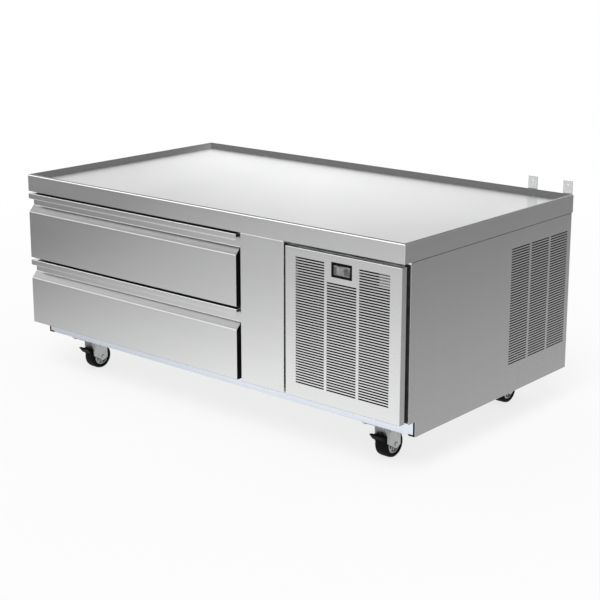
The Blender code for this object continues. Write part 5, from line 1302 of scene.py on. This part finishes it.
class CHEFBASE_OT_casters(bpy.types.Operator):
    """Builds the four casters: bolted plate and race, pressed fork, tyre, hub and brake pedal"""

    bl_idname = "chefbase.casters"
    bl_label = "Casters"

    def execute(self, context):
        for row in ("front", "rear"):
            for side in SIDES:
                corner = f"{row}_{side}"
                low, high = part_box("caster_plate_" + corner)
                pin = Vector(((low.x + high.x) / 2, (low.y + high.y) / 2, 0))
                wheel_low, wheel_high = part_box("caster_wheel_" + corner)
                axle = (wheel_low + wheel_high) / 2
                self.add_plate(corner, low, high, pin)
                self.add_fork(corner, axle, low.z - 0.0003)
                self.add_pins(corner, axle, pin, low.z - 0.0003, row == "front")
                self.add_wheel(corner, axle, (wheel_high.z - wheel_low.z) / 2, (wheel_high.x - wheel_low.x) / 2)
                if row == "front":
                    self.add_pedal(corner, axle)
        return {"FINISHED"}

    def add_plate(self, corner, low, high, pin):
        node = "caster_plate_" + corner
        under = high.z - 0.0035
        race = low.z
        profile = [(0.0056, race), (0.016, race), (0.0175, race + 0.0009), (0.0215, race + 0.0012),
                   (0.0238, race + 0.0028), (0.0240, race + 0.0045), (0.0228, under + 0.0004),
                   (0.0056, under + 0.0004)]
        with new_piece("caster_top_plate_" + corner, node, finish("zinc"), 0.0006, replaces=True) as bm:
            add_drawn(bm, "Z", under, high.z, rounded_rectangle(low.xy, high.xy, 0.008, 5))
            add_turned(bm, "Z", pin, profile, closed=True)
        places = [(pin.x + x, pin.y + y, under) for x in (-0.030, 0.030) for y in (-0.0375, 0.0375)]
        fastened("caster_bolts_" + corner, "hex", "-Z", places, node, size=0.0055, height=0.0050)

    def add_fork(self, corner, axle, top):
        """A plate bent into a yoke: its side and plan outlines crossed, then hollowed and opened at its front"""
        sheet, bend = FORK_OUTER - FORK_INNER, 0.010
        front, rear = axle.y - 0.037, axle.y + 0.018
        side = rounded_outline([(front, top, 0.004), (rear, top, 0.004), (rear, axle.z - 0.004, 0.006),
                                (axle.y, axle.z - 0.0125, 0.007), (front, axle.z + 0.011, 0.005)], 5)
        plan, hollow = (rounded_outline([
            (axle.x - half, start, radius), (axle.x + half, start, radius), (axle.x + half, end, 0),
            (axle.x - half, end, 0)], 6) for half, start, end, radius in (
                (FORK_OUTER, front, rear + 0.01, bend), (FORK_INNER, front + sheet, rear + 0.02, bend - sheet)))
        half, low, high = FORK_INNER - 0.001, axle.z - 0.03, axle.z + 0.031
        window = rounded_outline([(axle.x - half, low, 0), (axle.x + half, low, 0), (axle.x + half, high, 0.004),
                                  (axle.x - half, high, 0.004)], 4)
        fork = make_object("caster_yoke_" + corner, prism("X", axle.x - 0.03, axle.x + 0.03, side), finish("zinc"))
        cut_by(fork, "INTERSECT", prism("Z", 0, top + 0.01, plan))
        cut_by(fork, "DIFFERENCE", prism("Z", -0.01, top - sheet, hollow))
        cut_by(fork, "DIFFERENCE", prism("Y", front - 0.01, front + 0.012, window))
        smoothed(fork, 0.0006, 2, 30)
        stand_in(fork, "caster_fork_" + corner)

    def add_pins(self, corner, axle, pin, top, braked):
        """The kingpin, the axle with its heads, and the pedal's pivot on a braked caster"""
        outer, seat, tip = FORK_OUTER, top - FORK_OUTER + FORK_INNER, 0.1075
        kingpin = [(0, seat - 0.0015), (0.0085, seat - 0.0015), (0.0095, seat), (0.0095, top - 0.0004),
                   (0.005, top - 0.0004), (0.005, tip), (0, tip)]
        end, half = outer + 0.003, outer + 0.0015
        with new_piece("caster_pins_" + corner, "caster_fork_" + corner, finish("zinc"), sharp_deg=35) as bm:
            add_turned(bm, "Z", pin, softened(kingpin, 0.0008), 32)
            add_turned(bm, "X", axle, mirrored([(0, -end), (0.0050, -end), (0.0068, -end + 0.0012),
                                                (0.0068, -outer), (0.004, -outer)]), 32)
            if braked:
                add_turned(bm, "X", axle + PEDAL_PIVOT, mirrored([(0, -half), (0.0034, -half), (0.0038, -outer),
                                                                  (0.0025, -outer)]), 24)

    def add_wheel(self, corner, axle, radius, half):
        node = "caster_wheel_" + corner
        seat = 0.0262
        crown = [(seat, half - 0.0024), (seat + 0.0012, half - 0.0008), (radius - 0.0075, half),
                 (radius - 0.0045, half - 0.0009), (radius - 0.0018, half - 0.0034),
                 (radius - 0.0004, half - 0.0082), (radius, half - 0.0140)]
        with new_piece("caster_tyre_" + corner, node, finish("tyre"), sharp_deg=50, replaces=True) as bm:
            add_turned(bm, "X", axle, [*mirrored(crown), (seat, 0)], WHEEL_SIDES, closed=True)
        face, web, boss = half - 0.0030, half - 0.0080, half - 0.0002
        side = [(0.0044, boss), (0.0100, boss), (0.0108, half - 0.0012), (0.0108, web + 0.0008), (0.0116, web),
                (0.0205, web), (0.0216, web + 0.0010), (0.0222, face), (seat - 0.0012, face),
                (seat + 0.0003, face - 0.0010)]
        with new_piece("caster_hub_" + corner, node, finish("hub"), sharp_deg=40, slot="zinc_steel") as bm:
            add_turned(bm, "X", axle, mirrored(side), WHEEL_SIDES, closed=True)
        rib = [(axle.y - 0.0012, axle.z + 0.0104), (axle.y + 0.0012, axle.z + 0.0104),
               (axle.y + 0.0016, axle.z + 0.0216), (axle.y - 0.0016, axle.z + 0.0216)]
        bm = bmesh.new()
        for sign in (-1, 1):
            start, end = sorted(axle.x + sign * (web + rise) for rise in (-0.0002, 0.0022))
            add_drawn(bm, "X", start, end, rib)
        attach(round_axis("caster_hub_ribs_" + corner, bm, finish("hub"), 8, (1, 0, 0), axle), node)

    def add_pedal(self, corner, axle):
        """A lever that arches over the tyre, with a boss on its pivot and grips across its tread"""
        node = "brake_pedal_" + corner
        low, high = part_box(node)
        half, inner, outer = (high.x - low.x) / 2, 0.0434, 0.0463
        middle = (axle.y, axle.z)
        tip_y, tip_z = axle.y - 0.0575, axle.z + 0.0350
        lever = [*arc(middle, outer, 96, 146, 12),
                 (axle.y - 0.0440, axle.z + 0.0300), (axle.y - 0.0490, axle.z + 0.0325), (tip_y + 0.003, tip_z),
                 (tip_y, tip_z - 0.0006), (tip_y - 0.0004, tip_z - 0.0026), (tip_y + 0.0016, tip_z - 0.0044),
                 (axle.y - 0.0500, axle.z + 0.0235), (axle.y - 0.0440, axle.z + 0.0165),
                 *arc(middle, inner, 151, 96, 14)]
        boss = mirrored([(0.003, -half), (0.0048, -half), (0.0055, -half + 0.0008)])
        with new_piece("brake_lever_" + corner, node, finish("enamel"), 0.0006, replaces=True) as bm:
            add_drawn(bm, "X", axle.x - half, axle.x + half, lever)
            add_turned(bm, "X", axle + PEDAL_PIVOT, boss, 32, closed=True)
        first = Vector((axle.x, tip_y + 0.0038, tip_z - 0.0002))
        rib = rounded_rectangle((first.x - half + 0.004, first.y - 0.0005), (first.x + half - 0.004, first.y + 0.0005),
                                0.0004, 2)
        grips = in_line("brake_lever_grips_" + corner, prism("Z", first.z - 0.0006, first.z + 0.0006, rib),
                        finish("enamel"), 3, (0, 0.0030, -0.0012))
        attach(grips, node)


# Pieces that both machines share


def add_fins(name, node, material, box, plates, count, step):
    """A coil's fins, repeated from the first one's box, between two end plates"""
    bm = bmesh.new()
    add_slab(bm, *box)
    stand_in(in_line(name + "_fins", bm, material, count, step), node)
    with new_piece(name + "_end_plates", node, finish("galvanised"), 0.0003, slot="galvanised_sheet") as bm:
        for low, high in plates:
            add_slab(bm, low, high)


def serpentine(count, pitch, middle, ends, place):
    """A tube's passes to and fro between two ends, evenly about the middle. place takes (end, step) to a point"""
    route = []
    for i in range(count):
        step = middle - (count - 1) * pitch / 2 + i * pitch
        route += [place(end, step) for end in (ends if i % 2 == 0 else ends[::-1])]
    return route


def motor_shell(name, node, axis, centre, profile):
    with new_piece(name, node, finish("enamel"), sharp_deg=40, replaces=True) as bm:
        add_turned(bm, axis, centre, profile)


class CHEFBASE_OT_condensing_unit(bpy.types.Operator):
    """Builds the condensing unit: finned coil, shroud, fan, motor, compressor and its lines"""

    bl_idname = "chefbase.condensing_unit"
    bl_label = "Condensing unit"

    def execute(self, context):
        sizes = context.scene.chef_base_sizes
        dressed("condensing_unit_tray", "unit_tray", finish("galvanised"), 0.0004)
        self.add_coil(sizes)
        dressed("fan_shroud", "fan_shroud_sheet", finish("galvanised"), 0.0005)
        low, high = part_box("fan_shroud")
        places = [(x, high.y, z) for x in (low.x + 0.014, high.x - 0.014)
                  for z in (low.z + 0.014, (low.z + high.z) / 2 - 0.08, high.z - 0.014)]
        fastened("fan_shroud_screws", "screw", "Y", places, "fan_shroud")
        add_fan("condenser_fan", "Y", sizes, finish("plastic"))
        self.add_motor()
        self.add_compressor()
        self.add_lines(sizes)
        return {"FINISHED"}

    def add_coil(self, sizes):
        low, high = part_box("condenser_coil")
        plate, rim, bow = 0.0012, 0.002, 0.009
        count = int((high.x - low.x - 2 * plate) / sizes.fin_pitch)
        first = low.x + plate
        # The fins are black enamel: partly a real coating, partly painted shade that darkens the view through the
        # louvres
        add_fins("condenser", "condenser_coil", finish("enamel"),
                 ((first, low.y, low.z + rim), (first + sizes.fin_sheet, high.y, high.z - rim)),
                 [((at, low.y, low.z), (at + plate, high.y, high.z)) for at in (low.x, high.x - plate)],
                 count, (sizes.fin_pitch, 0, 0))
        rows = int((high.z - low.z - 0.02) / sizes.tube_pitch)
        routes = [serpentine(rows, sizes.tube_pitch, (low.z + high.z) / 2, (low.x - bow, high.x + bow),
                             lambda x, z, y=y: (x, y, z)) for y in (low.y + 0.014, high.y - 0.014)]
        tubes = swept("condenser_tubes", routes, finish("copper"), sizes.coil_tube, 0.0085, 10, 5)
        attach(tubes, "condenser_coil")

    def add_motor(self):
        node = "condenser_fan_motor"
        centre = fan_centre("condenser_fan", "Y")
        low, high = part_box(node)
        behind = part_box("condenser_fan")[1].y - centre.y
        start, end = behind + 0.003, high.y - centre.y
        motor_shell("condenser_motor", node, "Y", centre, [
            (0, start - 0.020), (0.004, start - 0.020), (0.004, start), (0.012, start), (0.014, start + 0.003),
            (0.032, start + 0.0035), (0.039, start + 0.008), (0.040, start + 0.012), (0.040, start + 0.026),
            (0.0388, start + 0.0268), (0.0388, start + 0.034), (0.040, start + 0.0348), (0.040, end - 0.008),
            (0.037, end - 0.003), (0.014, end - 0.001), (0.012, end), (0, end)])
        half_width, sheet, root = 0.009, 0.003, 0.0003
        reach, near = (high.x - low.x) / 2, behind + 0.0045
        inner = reach - sheet
        strap = [(centre.x + across, centre.y + up) for across, up in rounded_outline([
            (-reach, root, 0), (-reach, near + sheet, 0.004), (reach, near + sheet, 0.004), (reach, root, 0),
            (inner, root, 0), (inner, near, 0.002), (-inner, near, 0.002), (-inner, root, 0)])]
        with new_piece("condenser_motor_strap", node, finish("galvanised"), 0.0004, slot="galvanised_sheet") as bm:
            add_drawn(bm, "Z", centre.z - half_width, centre.z + half_width, strap)
        nuts = [(centre.x + x, centre.y + near + sheet, centre.z) for x in (-0.028, 0.028)]
        fastened("condenser_strap_nuts", "hex", "Y", nuts, node, size=0.0035, height=0.003)

    def add_compressor(self):
        low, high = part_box("compressor")
        centre = (low + high) / 2
        base, tall, radius, foot = low.z, high.z - low.z, 0.095, 0.115
        shell = [(0, 0.010), (0.060, 0.010), (0.078, 0.016), (0.090, 0.030), (radius, 0.048), (radius, 0.098),
                 (radius + 0.003, 0.100), (radius + 0.003, 0.106), (radius - 0.001, 0.108),
                 (radius - 0.002, tall - 0.060), (0.088, tall - 0.036), (0.070, tall - 0.016),
                 (0.045, tall - 0.004), (0.020, tall), (0, tall)]
        with new_piece("compressor_shell", "compressor", finish("enamel"), sharp_deg=55, replaces=True) as bm:
            add_turned(bm, "Z", (centre.x, centre.y, base), softened(shell, 0.006), 64)
        with new_piece("compressor_foot", "compressor", finish("enamel"), 0.0006) as bm:
            add_drawn(bm, "Z", base + 0.010, base + 0.013, rounded_rectangle(
                (centre.x - foot, centre.y - foot), (centre.x + foot, centre.y + foot), 0.02, 6))
        grommet = [(0.0, 0.0), (0.010, 0.0), (0.010, 0.0095), (0.0075, 0.010), (0.0075, 0.0135), (0.010, 0.014),
                   (0.010, 0.018), (0.0, 0.018)]
        bm = bmesh.new()
        add_turned(bm, "Z", ORIGIN, softened(grommet, 0.001), 24)
        at = foot - 0.020
        places = [(centre.x + x, centre.y + y, base) for x in (-at, at) for y in (-at, at)]
        attach(at_places("compressor_grommets", bm, finish("tyre"), places), "compressor")
        fastened("compressor_bolts", "hex", "Z", [(x, y, z + 0.018) for x, y, z in places], "compressor", size=0.005)
        cover = rounded_rectangle((centre.y - 0.030, base + 0.120), (centre.y + 0.030, base + 0.185), 0.006, 4)
        with new_piece("compressor_terminal_cover", "compressor", finish("plastic"), 0.002, 3,
                       slot="black_plastic") as bm:
            add_drawn(bm, "X", centre.x + radius - 0.010, centre.x + radius + 0.022, cover)

    def add_lines(self, sizes):
        """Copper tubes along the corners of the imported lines: suction to the shell, liquid from the coil"""
        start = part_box("evaporator_housing")[1].x
        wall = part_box("worktop")[0].y + 0.250
        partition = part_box("foam_body")[1].x
        low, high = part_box("compressor")
        centre = (low + high) / 2
        height, turn = 0.380, (partition + centre.x - 0.095) / 2
        suction = [(start, wall, height), (turn, wall, height), (turn, centre.y, height),
                   (turn, centre.y, centre.z), (centre.x - 0.0953, centre.y, centre.z)]
        low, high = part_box("condenser_coil")
        height, turn, outlet = 0.330, (partition + low.x) / 2, (low.y + high.y) / 2
        liquid = [(start, wall, height), (turn, wall, height), (turn, outlet, height),
                  (low.x - 0.0003, outlet, height)]
        for kind, route, radius in (("suction", suction, 0.006), ("liquid", liquid, 0.004)):
            tube = swept(kind + "_tube", [route], finish("copper"), radius, sizes.line_bend, 16, 10)
            stand_in(tube, kind + "_line")


def fan_centre(node, axis):
    """The fan's middle on its motor's axis, since the blades' own box isn't even about it"""
    low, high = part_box(node)
    motor_low, motor_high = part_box(node + "_motor")
    centre = (motor_low + motor_high) / 2
    at = AXES.index(axis)
    centre[at] = (low[at] + high[at]) / 2
    return centre


def add_fan(node, axis, sizes, material):
    """A fan: a domed hub, and blades that twist and cup from root to tip"""
    low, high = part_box(node)
    centre = fan_centre(node, axis)
    at = AXES.index(axis)
    half = (high[at] - low[at]) / 2
    others = [i for i in range(3) if i != at]
    tip = max(max(high[i] - centre[i], centre[i] - low[i]) for i in others)
    hub = 0.030 if tip > 0.1 else 0.018
    bm = bmesh.new()
    profile = softened([(0.0046, -half), (hub * 0.9, -half), (hub, -half * 0.8), (hub, half * 0.7),
                        (hub * 0.85, half), (0.0046, half)], 0.0015)
    add_turned(bm, axis, centre, profile, FINE_SIDES, closed=True)
    for i in range(sizes.blade_count):
        blade_points(bm, centre, axis, hub * 0.92, tip, half * 0.92, math.tau * i / sizes.blade_count)
    stand_in(make_piece(node + "_rotor", bm, material, sharp_deg=50), node)


def blade_points(bm, centre, axis, root, tip, half, turn):
    """One blade as two skins of a twisted grid, closed round its edge"""
    place = Matrix.Translation(centre) @ turned_from_z(axis) @ Matrix.Rotation(turn, 4, "Z")
    spans, chords = 6, 6
    skins = []
    for side in (-1, 1):
        skin = []
        for i in range(spans + 1):
            share = i / spans
            radius = root + (tip - root) * share
            sweep = math.radians(24 + 10 * math.sin(share * math.pi))
            rise = half * (0.95 - 0.35 * share)
            row = []
            for j in range(chords + 1):
                along = 2 * j / chords - 1
                angle = along * sweep + 0.25 * share * share
                cup = (1 - along * along) * 0.0035
                edge = 0.35 if j in (0, chords) else 1.0
                height = along * rise - cup + side * 0.0009 * edge
                spot = Vector((radius * math.cos(angle), radius * math.sin(angle), height))
                row.append(bm.verts.new(place @ spot))
            skin.append(row)
        skins.append(skin)
    for skin, flip in ((skins[0], True), (skins[1], False)):
        for i in range(spans):
            for j in range(chords):
                quad = [skin[i][j], skin[i + 1][j], skin[i + 1][j + 1], skin[i][j + 1]]
                bm.faces.new(quad[::-1] if flip else quad)
    border = [*((0, j) for j in range(chords)), *((i, chords) for i in range(spans)),
              *((spans, j) for j in range(chords, 0, -1)), *((i, 0) for i in range(spans, 0, -1))]
    for k, (i, j) in enumerate(border):
        m, n = border[(k + 1) % len(border)]
        bm.faces.new((skins[0][i][j], skins[0][m][n], skins[1][m][n], skins[1][i][j]))


class CHEFBASE_OT_evaporator(bpy.types.Operator):
    """Builds the evaporator: housing, finned coil, fan with its guard, and motor"""

    bl_idname = "chefbase.evaporator"
    bl_label = "Evaporator"

    def execute(self, context):
        sizes = context.scene.chef_base_sizes
        node = "evaporator_housing"
        dressed(node, "evaporator_cover", finish("stainless", "Y"), 0.0005)
        self.add_coil(sizes)
        add_fan("evaporator_fan", "X", sizes, finish("plastic"))
        centre = fan_centre("evaporator_fan", "X")
        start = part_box("evaporator_fan")[1].x - centre.x + 0.003
        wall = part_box("evaporator_fan_motor")[1].x - centre.x
        motor_shell("evaporator_motor", "evaporator_fan_motor", "X", centre, [
            (0, start - 0.018), (0.004, start - 0.018), (0.004, start), (0.020, start), (0.026, start + 0.002),
            (0.028, start + 0.006), (0.028, start + 0.018), (0.027, start + 0.0186), (0.027, start + 0.024),
            (0.028, start + 0.0246), (0.028, start + 0.036), (0.024, start + 0.042), (0.014, start + 0.042),
            (0.014, wall), (0, wall)])
        self.add_guard(sizes, centre)
        low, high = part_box(node)
        places = [(low.x, y, z) for y in (low.y + 0.015, (low.y + high.y) / 2, high.y - 0.015)
                  for z in (low.z + 0.015, high.z - 0.015)]
        fastened("evaporator_cover_screws", "screw", "-X", places, node)
        return {"FINISHED"}

    def add_coil(self, sizes):
        low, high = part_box("evaporator_coil")
        end, plate, bow = 0.012, 0.0012, 0.0055
        pitch = sizes.fin_pitch * 1.4
        first = low.z + end
        add_fins("evaporator", "evaporator_coil", finish("aluminium"),
                 ((low.x, low.y, first), (high.x, high.y, first + sizes.fin_sheet)),
                 [((low.x, low.y, at), (high.x, high.y, at + plate)) for at in (first - plate, high.z - end)],
                 int((high.z - low.z - 2 * end) / pitch), (0, 0, pitch))
        columns = int((high.y - low.y) / sizes.tube_pitch)
        routes = [serpentine(columns, sizes.tube_pitch, (low.y + high.y) / 2, (low.z + bow, high.z - bow),
                             lambda z, y, x=x: (x, y, z))
                  for x in (low.x + 0.020, (low.x + high.x) / 2, high.x - 0.020)]
        tubes = swept("evaporator_tubes", routes, finish("copper"), sizes.coil_tube, 0.006, 10, 5)
        attach(tubes, "evaporator_coil")

    def add_guard(self, sizes, centre):
        """Rings of wire round the fan's opening, on flat spokes"""
        node = "evaporator_housing"
        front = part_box(node)[0].x - sizes.guard_wire
        rings = [[(front, *point) for point in arc((centre.y, centre.z), radius, 0, 360, 40)[:-1]]
                 for radius in (0.020, 0.034, 0.048, 0.062, 0.078)]
        attach(swept("fan_guard_rings", rings, finish("zinc"), sizes.guard_wire, 0.0, 8, 1, ring=True), node)
        outline = rounded_rectangle((centre.y - 0.0012, centre.z + 0.020), (centre.y + 0.0012, centre.z + 0.082),
                                    0.0008, 2)
        spokes = round_axis("fan_guard_spokes", prism("X", front - 0.0022, front - 0.0006, outline),
                            finish("zinc"), 6, (1, 0, 0), (front, centre.y, centre.z))
        attach(spokes, node)


OPERATORS = (
    CHEFBASE_OT_stage,
    CHEFBASE_OT_worktop,
    CHEFBASE_OT_drawer_fronts,
    CHEFBASE_OT_gaskets,
    CHEFBASE_OT_fascia,
    CHEFBASE_OT_display,
    CHEFBASE_OT_side_panels,
    CHEFBASE_OT_cabinet,
    CHEFBASE_OT_rear_tabs,
    CHEFBASE_OT_drawer_frames,
    CHEFBASE_OT_casters,
    CHEFBASE_OT_condensing_unit,
    CHEFBASE_OT_evaporator,
)


class CHEFBASE_PT_sidebar(bpy.types.Panel):
    """Lists the building steps and the sizes and colours they use"""

    bl_label = "Chef Base"
    bl_idname = "CHEFBASE_PT_sidebar"
    bl_space_type = "VIEW_3D"
    bl_region_type = "UI"
    bl_category = "Chef Base"

    def draw(self, context):
        for step in OPERATORS:
            self.layout.operator(step.bl_idname)
        for group in ("chef_base_sizes", "chef_base_colours", "chef_base_stage"):
            values = getattr(context.scene, group)
            box = self.layout.box()
            for name in values.bl_rna.properties.keys():
                if name not in ("rna_type", "name"):
                    box.prop(values, name)


GROUPS = {"chef_base_sizes": ChefBaseSizes, "chef_base_colours": ChefBaseColours,
          "chef_base_stage": ChefBaseStage}


def register():
    for each in (*GROUPS.values(), *OPERATORS, CHEFBASE_PT_sidebar):
        bpy.utils.register_class(each)
    for name, group in GROUPS.items():
        setattr(bpy.types.Scene, name, PointerProperty(type=group))


def unregister():
    for name in GROUPS:
        delattr(bpy.types.Scene, name)
    for each in reversed((*GROUPS.values(), *OPERATORS, CHEFBASE_PT_sidebar)):
        bpy.utils.unregister_class(each)


def main():
    register()
    bpy.ops.chefbase.stage()
    bpy.ops.chefbase.worktop()
    bpy.ops.chefbase.drawer_fronts()
    bpy.ops.chefbase.gaskets()
    bpy.ops.chefbase.fascia()
    bpy.ops.chefbase.display()
    bpy.ops.chefbase.side_panels()
    bpy.ops.chefbase.cabinet()
    bpy.ops.chefbase.rear_tabs()
    bpy.ops.chefbase.drawer_frames()
    bpy.ops.chefbase.casters()
    bpy.ops.chefbase.condensing_unit()
    bpy.ops.chefbase.evaporator()


if __name__ == "__main__":
    main()
